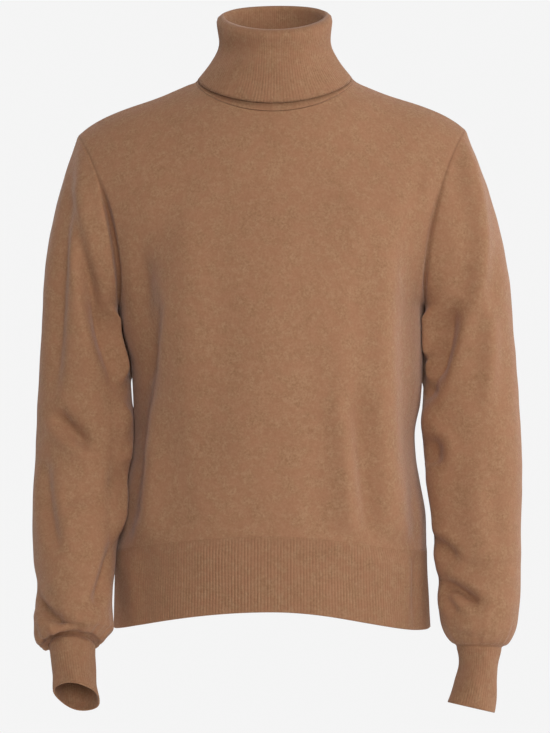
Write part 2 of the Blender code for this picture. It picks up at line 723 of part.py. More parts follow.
def main():
    for thing in list(bpy.data.objects):
        bpy.data.objects.remove(thing)
    sweater = bpy.data.objects.new("sweater", None)
    bpy.context.scene.collection.objects.link(sweater)
    for name, facing in (("front", -1), ("back", 1)):
        make_body(name, facing, sweater)
        make_hem("hem_rib_" + name, facing, sweater)
    for name, side, arm in (("right", -1, ARM_RIGHT), ("left", 1, ARM_LEFT)):
        make_sleeve("sleeve_" + name, side, arm, sweater)
        make_cuff("cuff_" + name, side, arm, sweater)
    make_collar("collar", sweater)


main()
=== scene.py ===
"""Dresses a camel turtleneck sweater: fine knit shells over the solids, their yarn, and the studio.

The tables are in millimetres and repeat the solids' own sizes, so each shell lies on its solid.
+Z is up, the sweater faces -Y, and the wearer's left is +X.
"""

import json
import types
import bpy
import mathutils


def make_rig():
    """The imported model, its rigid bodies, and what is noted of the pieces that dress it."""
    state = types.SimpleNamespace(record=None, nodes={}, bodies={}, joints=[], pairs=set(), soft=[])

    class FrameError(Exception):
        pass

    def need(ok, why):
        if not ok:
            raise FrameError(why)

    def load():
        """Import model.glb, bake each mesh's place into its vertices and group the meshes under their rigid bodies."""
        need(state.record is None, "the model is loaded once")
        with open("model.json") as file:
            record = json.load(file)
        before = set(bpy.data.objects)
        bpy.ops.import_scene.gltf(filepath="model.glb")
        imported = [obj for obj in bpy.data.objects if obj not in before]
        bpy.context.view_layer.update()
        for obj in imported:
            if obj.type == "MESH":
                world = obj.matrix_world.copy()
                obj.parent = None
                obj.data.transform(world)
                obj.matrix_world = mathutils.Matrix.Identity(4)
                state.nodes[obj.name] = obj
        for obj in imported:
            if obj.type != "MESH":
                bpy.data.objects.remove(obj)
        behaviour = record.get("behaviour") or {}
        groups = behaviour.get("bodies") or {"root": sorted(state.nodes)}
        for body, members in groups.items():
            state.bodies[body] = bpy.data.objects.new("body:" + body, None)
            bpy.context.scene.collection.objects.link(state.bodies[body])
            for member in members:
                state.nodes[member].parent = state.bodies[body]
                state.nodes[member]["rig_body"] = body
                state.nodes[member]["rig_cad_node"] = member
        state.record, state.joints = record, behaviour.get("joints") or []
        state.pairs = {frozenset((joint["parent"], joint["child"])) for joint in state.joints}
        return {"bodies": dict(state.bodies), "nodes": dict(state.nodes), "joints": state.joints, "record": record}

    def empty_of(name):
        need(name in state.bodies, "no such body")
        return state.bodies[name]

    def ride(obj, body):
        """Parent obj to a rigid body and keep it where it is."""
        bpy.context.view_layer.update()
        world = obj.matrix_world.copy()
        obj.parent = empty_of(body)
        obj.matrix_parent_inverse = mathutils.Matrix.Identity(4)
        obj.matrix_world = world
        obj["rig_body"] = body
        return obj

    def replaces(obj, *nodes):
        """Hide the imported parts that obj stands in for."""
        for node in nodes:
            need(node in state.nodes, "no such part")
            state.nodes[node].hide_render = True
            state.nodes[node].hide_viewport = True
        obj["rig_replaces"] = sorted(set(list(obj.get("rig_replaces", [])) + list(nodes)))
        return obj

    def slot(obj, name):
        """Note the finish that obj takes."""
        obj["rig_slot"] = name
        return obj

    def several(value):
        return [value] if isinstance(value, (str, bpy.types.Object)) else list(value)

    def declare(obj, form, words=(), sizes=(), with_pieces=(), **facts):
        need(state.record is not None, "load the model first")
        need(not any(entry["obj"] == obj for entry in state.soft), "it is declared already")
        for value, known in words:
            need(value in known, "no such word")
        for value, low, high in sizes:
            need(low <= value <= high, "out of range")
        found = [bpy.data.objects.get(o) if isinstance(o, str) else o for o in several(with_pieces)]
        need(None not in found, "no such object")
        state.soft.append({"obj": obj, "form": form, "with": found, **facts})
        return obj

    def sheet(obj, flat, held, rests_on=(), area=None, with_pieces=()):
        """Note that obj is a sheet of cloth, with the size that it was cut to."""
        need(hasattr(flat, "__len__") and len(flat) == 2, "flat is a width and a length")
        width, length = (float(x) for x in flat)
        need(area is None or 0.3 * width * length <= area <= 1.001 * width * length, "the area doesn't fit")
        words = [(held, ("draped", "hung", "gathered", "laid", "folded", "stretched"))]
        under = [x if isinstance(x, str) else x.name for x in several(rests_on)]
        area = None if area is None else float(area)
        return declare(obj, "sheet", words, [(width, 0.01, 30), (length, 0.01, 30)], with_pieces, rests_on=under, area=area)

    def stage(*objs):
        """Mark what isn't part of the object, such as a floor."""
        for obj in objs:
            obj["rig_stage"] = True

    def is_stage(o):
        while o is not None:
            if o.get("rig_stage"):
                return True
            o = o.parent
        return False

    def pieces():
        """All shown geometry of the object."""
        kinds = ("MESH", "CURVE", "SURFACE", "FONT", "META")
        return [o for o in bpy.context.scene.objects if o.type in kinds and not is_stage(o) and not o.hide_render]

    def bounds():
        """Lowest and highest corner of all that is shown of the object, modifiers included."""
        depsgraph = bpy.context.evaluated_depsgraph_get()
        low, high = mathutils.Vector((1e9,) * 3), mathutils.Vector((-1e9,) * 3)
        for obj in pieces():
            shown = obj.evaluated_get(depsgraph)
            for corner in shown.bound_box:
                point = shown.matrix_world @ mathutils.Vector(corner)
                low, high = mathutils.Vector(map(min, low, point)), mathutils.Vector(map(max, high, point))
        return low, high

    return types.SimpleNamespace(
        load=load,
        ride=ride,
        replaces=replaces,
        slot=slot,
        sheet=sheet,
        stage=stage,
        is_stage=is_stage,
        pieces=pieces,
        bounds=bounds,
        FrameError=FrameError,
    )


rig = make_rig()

bl_info = {
    "name": "Camel turtleneck sweater",
    "version": (1, 0, 0),
    "blender": (4, 5, 0),
    "location": "3D View > Sidebar > Sweater",
    "description": "Builds a turtleneck sweater's knit over its solids, with its yarn and studio",
    "category": "Add Mesh",
}

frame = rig.load()
CAD_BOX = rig.bounds()

import json
import math

import bpy
import numpy as np
from bpy.props import FloatProperty, FloatVectorProperty, PointerProperty
from mathutils import Vector

MM = 0.001


def table(names, rows):
    """A short table: the name of each column, with its values down the rows of text."""
    names = names.split()
    return dict(zip(names, np.array(rows.split(), float).reshape(-1, len(names)).T))


# ---- sizes shared with the solids

TRUNK = table("height right left front back", """
    -606 173.5 174.5 124 117
    -560 173 171.5 124 116.5
    -515 172 170 125 114
    -480 168 169.5 126 111
    -436 161 162.5 128 108.5
    -412 155.6 158.5 129 107.5
    -386 151.8 157 130 107
    -350 152.8 163.6 132 106.5
    -309 155.4 166.2 134 108
    -280 163 166.6 136 110
    -250 168 168 136 112
""")
ARMPIT = -250.0
HEM_SIDE_HEIGHT, HEM_FRONT_RISE, HEM_BACK_RISE = -598.5, 26.5, 8.5
RIB_SIDE_HEIGHT, RIB_FRONT_RISE = -511.0, 20.0
HEM_RISE_POWERS = (3.4, 2.0)  # on the wearer's left and right

# The armhole's edge: 0 at the armpit, 90 in front, 180 at the shoulder, 270 behind.
ARMHOLE = table("turn x y height", """
    0 168 0 -250
    25 166.6 -26 -243
    50 165.5 -46 -222
    75 168.5 -58 -190
    100 174.5 -60 -155
    125 184 -52 -118
    150 198 -33 -81
    165 208 -14 -62
    180 213 5 -54
    195 213.5 22 -59
    215 210 39 -80
    240 202 54 -118
    265 192 60 -158
    290 183 55 -197
    315 175 42 -228
    340 169.5 21 -245
    360 168 0 -250
""")
ARMHOLE_MIDDLE = (0.0, -155.0)  # y and height

CHEST = table("turn height depth", """
    0 -250 136
    15 -236 135.5
    30 -222 134
    45 -205 130.5
    60 -187 125
    75 -168 118
    90 -148 110
    105 -127 102.5
""")
UPPER_BACK = table("turn height depth", """
    0 -250 112
    15 -236 112.5
    30 -220 113.5
    45 -203 114.5
    60 -184 115
    75 -163 114.5
    90 -140 112.5
    105 -116 109
""")
YOKE_TURN = 105.0
YOKE_PULL = 0.38
YOKE_LEAVES = {-1: 0.34, 1: 0.16}
YOKE_ARRIVES = {
    -1: table("across neckward over up", """
    0 0 0.6 0.8
    0.27 0.36 0.62 0.7
    0.55 0.62 0.66 0.42
    0.75 0.28 0.86 0.4
    1 0 0.93 0.36
    """),
    1: table("across neckward over up", """
    0 0 0.6 0.8
    0.27 0.36 0.66 0.6
    0.55 0.62 0.72 0.22
    0.75 0.28 0.9 0.26
    1 0 0.93 0.36
    """),
}
SHOULDER = table("x height", """
    72 5
    88 0
    123 -13.8
    165 -27.4
    186 -36
    198 -42.6
    207 -48.8
    213 -54
""")

NECK_X, NECK_Y = 3.0, -7.0
NECK_SHARE = 6 / 11
NECK_WIDE, NECK_DEEP = 86.0, 71.0
NECKLINE_HEIGHT = (-38.0, 0.6, 11.0)  # at the front, the sides and the back
COLLAR_EDGE_HEIGHT = (-28.8, 3.4, 16.0)
COLLAR_TOP_HEIGHT = (51.0, 73.5, 90.0)
COLLAR_LIFT = 0.5

CUFF_ROW = 15
ARM_COLUMNS = "height x y wide deep tip"
ARM_RIGHT = table(ARM_COLUMNS, """
    -272 209.5 1 43.4 50 0
    -292 207.5 2 47 51 0
    -312 206 3 49.5 51 0
    -345 205.8 4 51.6 50 2
    -380 206.2 3 53.2 49 6
    -412 208.8 -3 52 48 12
    -447 212 -15 49.4 47 18
    -476 212.8 -27 48 46 20
    -501 214 -38 45.9 46 20
    -528 213.6 -49 43.9 46 18
    -549 212.4 -58 40.6 44 16
    -568 213.7 -65 41.5 43 13
    -584 212.6 -71 42.4 43 12
    -595 212.6 -75 43.2 43 17
    -603 213.6 -78 38.5 39 23
    -607 214.2 -80 25.6 28 26
    -625 213 -87 24 27 28
    -645 210.6 -96 23.6 27 33
    -663 207.2 -106 25.2 28 38
""")
ARM_LEFT = table(ARM_COLUMNS, """
    -272 216.2 1 48.6 50 0
    -292 217.4 2 50 51 0
    -312 218.2 3 51 51 0
    -345 218.8 3 52.6 50 0
    -378 219 2 54.2 49 2
    -401 220.6 0 54.2 48 4
    -430 222.3 -4 52.7 48 6
    -458 224 -9 50.4 47 8
    -490 224.8 -15 47.8 46 9
    -515 224.8 -19 47.4 46 9
    -540 226.8 -24 44.4 45 8
    -565 225.9 -28 44.3 44 8
    -588 225.4 -32 42.3 42 7
    -603 225.6 -35 37.2 38 6
    -612 225.2 -37 31 32 6
    -616 225 -38 25.6 28 6
    -637 224.2 -43 20.9 27 6
    -660 220 -47 23.4 27.5 6
    -681 215.2 -50 26.4 28.5 6
""")
SLEEVE_PULL = 0.35
SLEEVE_LEAVES = table("turn out fore down", """
    0 0.2 0 0.98
    45 0.55 0.3 0.78
    90 0.82 0.22 0.53
    135 0.66 0.12 0.74
    180 0.38 0 0.92
    225 0.66 -0.12 0.74
    270 0.82 -0.22 0.53
    315 0.55 -0.3 0.78
    360 0.2 0 0.98
""")

HEIGHT_TILT = 0.014
TILT_FROM, TILT_FULL = -300.0, -150.0

HEM_RIBS = 154  # round the front, and as many round the back
CUFF_RIBS = 54
COLLAR_RIBS = 144
RIB_STEPS = 6  # points across one rib
RIB_SHARPNESS = 0.75  # the power of the cosine across a rib
# How far from the loose edge, the top and the side a rib climbs to its height.
RIB_STARTS, RIB_ENDS, RIB_SIDES, CUFF_RIB_ENDS = (-1.5, 2.5), (0, 5), (0, 2.5), (-1, 4)

# Folds and creases, seen from in front or behind: each runs from its first place to its last, and
# bends towards its middle one. A trough has a depth below zero and a ridge above. These are the
# solids' own.
FOLD_COLUMNS = "x0 z0 x1 z1 x2 z2 width depth"
BODY_FOLDS = {
    -1: table(FOLD_COLUMNS, """
    -142 -185 -139 -290 -150 -440 13 -7
    -120 -240 -127 -275 -137 -320 8 -3
    124 -190 107 -340 131 -490 14 4
    143 -200 146 -300 140 -420 14 -3.5
    -60 -330 -66 -400 -62 -470 18 -1.5
    88 -340 95 -415 104 -490 12 -3.5
    """),
    1: table(FOLD_COLUMNS, """
    -138 -150 -128 -280 -140 -420 17 -5
    140 -160 130 -270 142 -410 17 -4.5
    -52 -270 -60 -370 -50 -470 18 -3.5
    58 -250 52 -350 64 -460 18 -3.5
    -90 -340 -30 -372 30 -345 15 -2.5
    """),
}
SLEEVE_FOLDS = {
    (-1, -1): table(FOLD_COLUMNS, """
    -223 -100 -231 -200 -243 -345 13 -4
    -204 -135 -200 -225 -176 -318 13 -4.5
    -236 -362 -218 -372 -200 -392 13 -5
    -252 -548 -238 -566 -222 -576 9 -4
    -172 -512 -176 -545 -190 -562 9 -4
    """),
    (-1, 1): table(FOLD_COLUMNS, """
    -212 -150 -222 -240 -236 -330 15 -5
    -188 -372 -214 -384 -240 -368 13 -5
    -186 -410 -212 -424 -238 -412 12 -3.5
    -180 -545 -210 -560 -240 -552 10 -3.5
    """),
    (1, -1): table(FOLD_COLUMNS, """
    196 -250 184 -306 164 -350 11 -6
    200 -60 250 -170 208 -280 12 4
    172 -392 180 -404 176 -420 10 -4.5
    188 -546 202 -556 222 -566 8 -4.5
    184 -505 190 -520 196 -528 9 -3
    """),
    (1, 1): table(FOLD_COLUMNS, """
    214 -150 226 -240 240 -330 15 -5
    192 -372 220 -386 250 -372 13 -5
    190 -412 218 -428 248 -414 12 -3.5
    196 -540 224 -556 252 -546 10 -3.5
    """),
}
FOLD_STEPS = 96  # places along a fold's line
FOLD_END = 0.25  # the share of its depth that a fold keeps at its ends
FOLD_WELT, FOLD_WELT_PLACE = 0.25, 1.9  # the welt's share of that depth, and its place in widths

# Finer creases that the solids leave out, in the same columns.
BODY_CREASES = {
    -1: table(FOLD_COLUMNS, """
    -144 -192 -133 -275 -143 -376 17 -5.2
    -126 -240 -130 -282 -142 -345 8 -2.6
    -156 -161 -158 -227 -154 -307 8 1.8
    -146 -345 -148 -433 -157 -505 9 -7.5
    -130 -342 -129 -418 -135 -510 12 3.8
    -95 -150 -84 -222 -94 -370 22 5.2
    -96 -420 -92 -455 -98 -498 13 -1.4
    -32 -428 -28 -462 -35 -500 16 -1.1
    52 -380 50 -438 53 -502 14 -2
    67 -337 76 -403 84 -503 9 2.6
    92 -328 97 -402 108 -505 8 -3.5
    85 -193 97 -256 100 -335 20 -2.5
    139 -105 122 -195 121 -290 13 1.6
    121 -270 124 -375 140 -505 13 2.8
    155 -431 154 -470 156 -510 8 -3.2
    -148 -476 -148 -490 -148 -510 8 3.2
    179 -81 173 -116 158 -173 8 3.5
    -84 -98 -112 -138 -122 -186 15 -1.2
    88 -96 114 -134 124 -180 15 -1.2
    112 -110 98 -268 116 -518 34 6.5
    143 -200 146 -300 140 -420 14 3.4
    """),
    1: table(FOLD_COLUMNS, """
    -132 -160 -126 -280 -137 -400 8 -5.2
    -118 -230 -110 -310 -121 -420 9 3.5
    136 -170 128 -270 139 -390 8 -4.6
    122 -250 113 -330 126 -450 10 3.2
    -52 -290 -58 -370 -51 -452 9 -3.2
    57 -270 53 -350 62 -440 9 -2.9
    -72 -352 -20 -374 36 -350 12 -2.2
    -48 -196 4 -214 60 -192 14 -1.8
    -96 -418 -90 -455 -95 -498 13 -1.4
    18 -424 24 -460 16 -500 14 -1.2
    92 -430 96 -466 90 -500 12 -1.2
    """),
}
HEM_CREASES = {
    -1: table(FOLD_COLUMNS, """
    156 -492 155 -536 157 -595 7 -4.1
    142 -492 141 -536 144 -595 8 2.2
    122 -480 122 -536 124 -610 24 3.6
    -148 -492 -148 -536 -148 -595 8 2.6
    """),
    1: table(FOLD_COLUMNS, """
    150 -496 148 -540 151 -598 8 -2.9
    -150 -496 -147 -540 -151 -598 8 -2.9
    """),
}
SLEEVE_CREASES = {
    (-1, -1): table(FOLD_COLUMNS, """
    -219 -77 -231 -189 -237 -340 8 -6.8
    -217 -129 -204 -216 -168 -333 7 -6.8
    -223 -77 -212 -158 -201 -199 14 3.3
    -212 -225 -204 -290 -192 -348 12 3
    -236 -362 -221 -381 -196 -398 7 -7.2
    -232 -385 -214 -402 -196 -410 9 3.4
    -156 -361 -157 -380 -162 -402 8 -6.1
    -163 -413 -166 -428 -172 -443 7 -5.7
    -248 -415 -246 -463 -230 -506 8 -7.2
    -227 -455 -210 -453 -193 -451 9 -3.4
    -264 -552 -243 -580 -206 -589 6 -10.5
    -170 -500 -174 -537 -187 -565 6 -6.1
    """),
    (-1, 1): table(FOLD_COLUMNS, """
    -210 -160 -220 -240 -234 -320 7 -6.5
    -196 -200 -202 -280 -196 -345 9 3.8
    -190 -373 -214 -384 -238 -370 6 -8
    -188 -356 -214 -366 -240 -352 9 2.8
    -188 -411 -212 -423 -236 -413 6 -5.7
    -184 -546 -210 -560 -238 -552 5 -6.1
    """),
    (1, -1): table(FOLD_COLUMNS, """
    196 -251 187 -304 166 -348 8 -8
    200 -54 250 -166 209 -279 9 4.9
    230 -240 244 -286 231 -355 9 4.9
    226 -120 226 -190 216 -262 13 -3
    170 -389 178 -402 172 -420 9 -7.6
    247 -424 233 -467 249 -511 12 -3
    166 -345 173 -440 186 -585 14 6
    174 -495 184 -506 198 -517 6 -6.1
    204 -528 233 -530 266 -528 7 -3.4
    185 -544 200 -555 224 -566 6 -8
    188 -552 188 -566 201 -575 5 -5.7
    200 -601 213 -608 226 -608 6 -4.2
    """),
    (1, 1): table(FOLD_COLUMNS, """
    213 -160 225 -240 238 -320 7 -6.5
    200 -200 206 -280 200 -345 9 3.8
    196 -374 221 -386 247 -373 6 -8
    194 -356 221 -368 248 -355 9 2.8
    193 -414 218 -428 245 -415 6 -5.7
    199 -542 224 -556 249 -547 5 -6.1
    """),
}
COLLAR_CREASES = table(FOLD_COLUMNS, """
    -56 35 -11 31 43 26 9 -2.2
    -49 51 -12 43 50 44 10 1.8
    -62 12 -24 10 30 14 12 1.6
    -6 26 8 20 24 16 9 -1.6
""")

# Where a sleeve lies against the body, from above: it starts, is fully pressed, is still pressed,
# and ends. The gap is the one seen from in front. Behind it the sleeve closes up to PRESS_GAP.
PRESSED = {
    -1: table("start full last end gap", "-242 -262 -312 -338 3   -342 -372 -470 -512 0.5"),
    1: table("start full last end gap", "-242 -262 -294 -308 0.3   -298 -310 -318 -342 3"),
}
PRESS_GAP, PRESS_FULL, PRESS_REACH = 0.5, 12.0, 26.0
PRESS_BEHIND = (6.0, 17.0)  # the y from which the gap closes, and where it is closed

# The sleeve's seam sinks in front of the armpit: how deep on each side, and how wide.
VALLEY_DEPTH = {-1: 9.0, 1: 2.4}
VALLEY_WIDTH = 3.2
VALLEY_STARTS, VALLEY_FULL, VALLEY_LAST, VALLEY_ENDS = -100, -150, -236, -251
VALLEY_BEHIND, VALLEY_TURNS = 0.4, (20, -20)  # the back's share of it, and the y between the two
# So does the seam above a cuff, where the sleeve hangs a little over it.
CUFF_VALLEY, CUFF_DROOP = {-1: 4.5, 1: 0.8}, {-1: 3.0, 1: 0.0}
CUFF_VALLEY_WIDTH = 3.2
DROOP_PLACE, DROOP_WIDTH = 9, 5  # above the cuff
GATHER_SHARE = {-1: 1.0, 1: 0.55}
GATHER_FROM, GATHER_TO = (48, 4), (-2, 6)  # how far above the cuff gathers rise, and end
SEAM_WIDTH = 1.5  # half the furrow at a seam
SEAM_WELT, SEAM_WELT_PLACE, SEAM_WELT_WIDTH = 0.35, 4.2, 1.8  # a share of its depth, and where
SIDE_SEAM_SHARE = 0.4  # how deep the side seams are beside the others
NECK_SEAM_HIDES = 2.4  # added to a place's distance from the collar's seam, which hardly shows
HEM_SEAM_HIDES = 1.5  # the same for the top of the hem's rib
EDGE_ROUND = 0.96  # how nearly a loose edge is a half circle
EDGE_REACH, CUFF_EDGE_REACH = 3, 2  # how far from an edge the way into the wall turns

# ---- curves and surfaces


def smooth(at, places, values):
    """A cubic curve through a table's rows that never overshoots them, flat beyond its ends.

    Its slope at a row is the harmonic mean of the slopes to both sides, and 0 where they differ in
    sign.
    """
    at = np.clip(np.asarray(at, float), places[0], places[-1])
    steps = np.diff(values) / np.diff(places)
    before, after = steps[:-1], steps[1:]
    same_way = before * after > 0
    mean = 2 * before * after / np.where(same_way, before + after, 1.0)
    slopes = np.concatenate([steps[:1], np.where(same_way, mean, 0.0), steps[-1:]])
    row = np.clip(np.searchsorted(places, at) - 1, 0, len(places) - 2)
    step = places[row + 1] - places[row]
    t = (at - places[row]) / step
    return (
        values[row] * (1 + 2 * t) * (1 - t) ** 2
        + values[row + 1] * t**2 * (3 - 2 * t)
        + step * t * (1 - t) * (slopes[row] * (1 - t) - slopes[row + 1] * t)
    )


def curves(at, rows, *names):
    """Such curves through some of a table's columns, by places in its first one."""
    places = next(iter(rows.values()))
    return [smooth(at, places, rows[name]) for name in names]


def round_about(at, rows, *names):
    """The same through a table of turns, without a kink where the curves close."""
    at, turns = np.mod(at, 360), rows["turn"]
    turns = np.concatenate([turns[-4:-1] - 360, turns, turns[1:4] + 360])
    return [
        smooth(at, turns, np.concatenate([rows[name][-4:-1], rows[name], rows[name][1:4]]))
        for name in names
    ]


def stack(x, y, z):
    """Three coordinates as one array of points."""
    return np.stack(np.broadcast_arrays(x, y, z), axis=-1)


def unit(vectors):
    """The same directions with a length of 1."""
    return vectors / np.linalg.norm(vectors, axis=-1, keepdims=True)


def bell(at, width=1.0):
    """1 at 0, and less to both sides: exp(-(at / width)^2)."""
    return np.exp(-((at / width) ** 2))


def ease(low, high, at):
    """0 up to low, 1 from high on, and a smooth climb between."""
    t = np.clip((at - low) / (high - low), 0, 1)
    return t * t * (3 - 2 * t)


def around_neck(turn, heights):
    """A height at a turn round the neck: a mean, a wave and a double wave through three heights."""
    front, side, back = heights
    middle = (front + back + 2 * side) / 4
    angle = np.radians(turn)
    return middle + (front - back) / 2 * np.cos(angle) + (middle - side) * np.cos(2 * angle)


def neck_ring(turn, wide, front, back, height):
    """An oval round the neck: wide times the sine sideways, front or back times the cosine."""
    sine, cosine = np.sin(np.radians(turn)), np.cos(np.radians(turn))
    deep = np.where(cosine > 0, front, back)
    return stack(NECK_X + wide * sine, NECK_Y - deep * cosine, height)


def neckline(turn):
    """The oval edge that the collar is linked to."""
    return neck_ring(turn, NECK_WIDE, NECK_DEEP, NECK_DEEP, around_neck(turn, NECKLINE_HEIGHT))


def armhole(turn, side):
    """The armhole's edge at a turn round it, read from its table."""
    x, y, height = round_about(turn, ARMHOLE, "x", "y", "height")
    return stack(side * x, y, height)


def hem_rise(angle):
    """The climb from side to middle: a power of the cosine, steeper on the wearer's left."""
    return np.abs(np.cos(np.radians(angle))) ** np.where(angle > 0, *HEM_RISE_POWERS)


def hem_height(angle, facing):
    """The loose edge: it rises over the bust in front and drops a little behind."""
    return HEM_SIDE_HEIGHT + (HEM_FRONT_RISE if facing < 0 else HEM_BACK_RISE) * hem_rise(angle)


def rib_height(angle, facing):
    """Where the hem's rib ends and plain knit begins."""
    return RIB_SIDE_HEIGHT + (RIB_FRONT_RISE if facing < 0 else HEM_BACK_RISE) * hem_rise(angle)


def trunk(angle, height, facing):
    """Half an oval at each height: half width times the sine, depth times the cosine."""
    right, left, deep = curves(height, TRUNK, "right", "left", "front" if facing < 0 else "back")
    sine, cosine = np.sin(np.radians(angle)), np.cos(np.radians(angle))
    return stack(np.where(sine > 0, left, right) * sine, facing * deep * cosine, height)


def chest_row(across, turn, facing):
    """An oval arc from armhole to armhole over the middle of the chest or back."""
    middle_height, depth = curves(turn, CHEST if facing < 0 else UPPER_BACK, "height", "depth")
    end = armhole(turn if facing < 0 else 360 - turn, 1)
    bend = np.arccos(facing * end[..., 1] / depth)
    share = (np.cos(bend * across) - np.cos(bend)) / (1 - np.cos(bend))
    return stack(
        end[..., 0] * np.sin(bend * across) / np.sin(bend),
        end[..., 1] + (facing * depth - end[..., 1]) * share,
        end[..., 2] + (middle_height - end[..., 2]) * share,
    )


def top_row(across):
    """The panel's top: the neckline, with a shoulder seam on each side of it."""
    share = np.clip((np.abs(across) - NECK_SHARE) / (1 - NECK_SHARE), 0, 1)
    side = np.sign(across)
    neck_point = neckline(90 * side)
    reach = np.abs(neck_point[..., 0])
    x = reach + share * (SHOULDER["x"][-1] - reach)
    y = neck_point[..., 1] + share * (armhole(180.0, 1)[1] - neck_point[..., 1])
    seam = stack(side * x, y, *curves(x, SHOULDER, "height"))
    return seam, share > 0


def sweep(start, leave, arrive, end, share):
    """A cubic curve from start to end, drawn along leave at first and along arrive at last."""
    share = share[..., None]
    return (
        start * (1 - share) ** 3
        + 3 * (start + leave) * (1 - share) ** 2 * share
        + 3 * (end - arrive) * (1 - share) * share**2
        + end * share**3
    )


def yoke(across, share, facing):
    """From the chest or back to the top row: each column is one cubic sweep over the shoulder."""
    start = chest_row(across, YOKE_TURN, facing)
    seam, on_shoulder = top_row(across)
    neck_turn = 90 * across / NECK_SHARE
    collar_edge = neckline(neck_turn if facing < 0 else 180 - neck_turn)
    end = np.where(on_shoulder[..., None], seam, collar_edge)
    pull = YOKE_PULL * np.linalg.norm(end - start, axis=-1, keepdims=True)
    leave = unit(np.array([0.0, -facing * YOKE_LEAVES[facing], 1.0]))
    neckward, over, up = curves(np.abs(across), YOKE_ARRIVES[facing], "neckward", "over", "up")
    arrive = unit(stack(-np.sign(across) * neckward, -facing * over, up))
    return sweep(start, pull * leave, pull * arrive, end, share)


def body_surface(across, rise, facing):
    """The outside of the front (facing -1) or back (+1), made of three stretches one above another.

    across runs from -1 at the wearer's right edge to 1 at the left one. rise runs from -1 at the
    rib to 0 at the armpit and 1 at the shoulder seam.
    """
    angle = 90 * across
    foot = rib_height(angle, facing)
    low = trunk(angle, foot + (np.minimum(rise, 0) + 1) * (ARMPIT - foot), facing)
    turn = 180 * np.clip(rise, 0, 1)
    middle = chest_row(across, np.minimum(turn, YOKE_TURN), facing)
    share = np.clip((turn - YOKE_TURN) / (180 - YOKE_TURN), 0, 1)
    upper = yoke(across, share, facing)
    side = np.where(across < 0, -1.0, 1.0)
    edge = armhole(turn if facing < 0 else 360 - turn, side)
    upper = upper + (np.abs(across) ** 4)[..., None] * (edge - yoke(side, share, facing))
    points = np.where((turn > YOKE_TURN)[..., None], upper, middle)
    return np.where((rise < 0)[..., None], low, points)


def arm_ring(rows, side, row, turn):
    """A leaning oval: turn 0 faces the body, 90 forwards and 180 outwards."""
    places = np.arange(len(rows["height"]), dtype=float)
    at = {name: smooth(row, places, values) for name, values in rows.items()}
    slant = smooth(row, places, np.gradient(rows["x"]) / np.gradient(rows["height"]))
    tip = np.radians(at["tip"])
    to_body = unit(stack(-side, 0, side * slant))
    forward = stack(0, -np.cos(tip), np.sin(tip))
    angle = np.radians(turn)[..., None]
    middle = stack(side * at["x"], at["y"], at["height"])
    return (
        middle
        + at["wide"][..., None] * np.cos(angle) * to_body
        + at["deep"][..., None] * np.sin(angle) * forward
    )


def sleeve_cap(turn, share, side, rows):
    """From the armhole to the upper arm: each column is one cubic sweep that ends straight down."""
    start, end = armhole(turn, side), arm_ring(rows, side, 0 * turn, turn)
    out, fore, down = round_about(turn, SLEEVE_LEAVES, "out", "fore", "down")
    leave = unit(stack(side * out, -fore, -down))
    pull = SLEEVE_PULL * np.linalg.norm(end - start, axis=-1, keepdims=True)
    return sweep(start, pull * leave, pull * np.array([0.0, 0.0, -1.0]), end, share)


# ---- grid helpers


def relax(points, share, rounds):
    """Draws each point towards the middle of its four neighbours, round after round.

    share says how far, and is 0 along the sides of a grid that isn't closed.
    """
    for _ in range(rounds):
        beside = np.roll(points, 1, axis=1)[1:-1] + np.roll(points, -1, axis=1)[1:-1]
        middle = (points[2:] + points[:-2] + beside) / 4
        points[1:-1] += share[1:-1, :, None] * (middle - points[1:-1])
    return points


def refine(points, at):
    """A grid read between its rows: the cubic through the four rows round each place."""
    padded = np.concatenate([2 * points[:1] - points[1:2], points, 2 * points[-1:] - points[-2:-1]])
    row = np.clip(np.floor(at).astype(int), 0, len(points) - 2)
    t = (at - row).reshape((-1,) + (1,) * (points.ndim - 1))
    a, b, c, d = (padded[row + i] for i in range(4))
    return b + 0.5 * t * (c - a + t * (2 * a - 5 * b + 4 * c - d + t * (3 * (b - c) + d - a)))


def spaced(count):
    """Even places from 0 to 1, with closer ones beside both ends."""
    step, near = 1 / (count - 1), np.array(CLOSER_PLACES) / (count - 1)
    places = [np.linspace(0, 1, count), near, step + near[:3], 1 - near, 1 - step - near[:3]]
    return np.unique(np.concatenate(places))


def outward(points, closed):
    """Unit normals of a grid of points [row, column], on its left as the columns run."""
    if closed:
        around = np.roll(points, -1, axis=1) - np.roll(points, 1, axis=1)
    else:
        around = np.gradient(points, axis=1)
    return unit(np.cross(around, np.gradient(points, axis=0)))


def ring_normal(points):
    """Unit normals of a tube, away from the middle of each ring."""
    normal = outward(points, True)
    away = points - points.mean(axis=1, keepdims=True)
    return normal * np.sign((normal * away).sum(axis=(1, 2), keepdims=True))


def turned(inward, aim, distance, reach):
    """Turns the way into a wall towards an aim near an edge, by exp(-distance / reach)."""
    near = np.exp(-distance / reach)[..., None]
    return unit(inward * (1 - near) + aim * near)


def to_armhole(points):
    """The way from each point to the armhole's middle, level across the body."""
    return unit(stack(0, ARMHOLE_MIDDLE[0] - points[..., 1], ARMHOLE_MIDDLE[1] - points[..., 2]))


def lengths(points, axis):
    """How far each point of a grid is from its first one, along the rows or columns."""
    steps = np.linalg.norm(np.diff(points, axis=axis), axis=-1)
    start = np.zeros_like(np.take(steps, [0], axis=axis))
    return np.concatenate([start, np.cumsum(steps, axis=axis)], axis=axis)


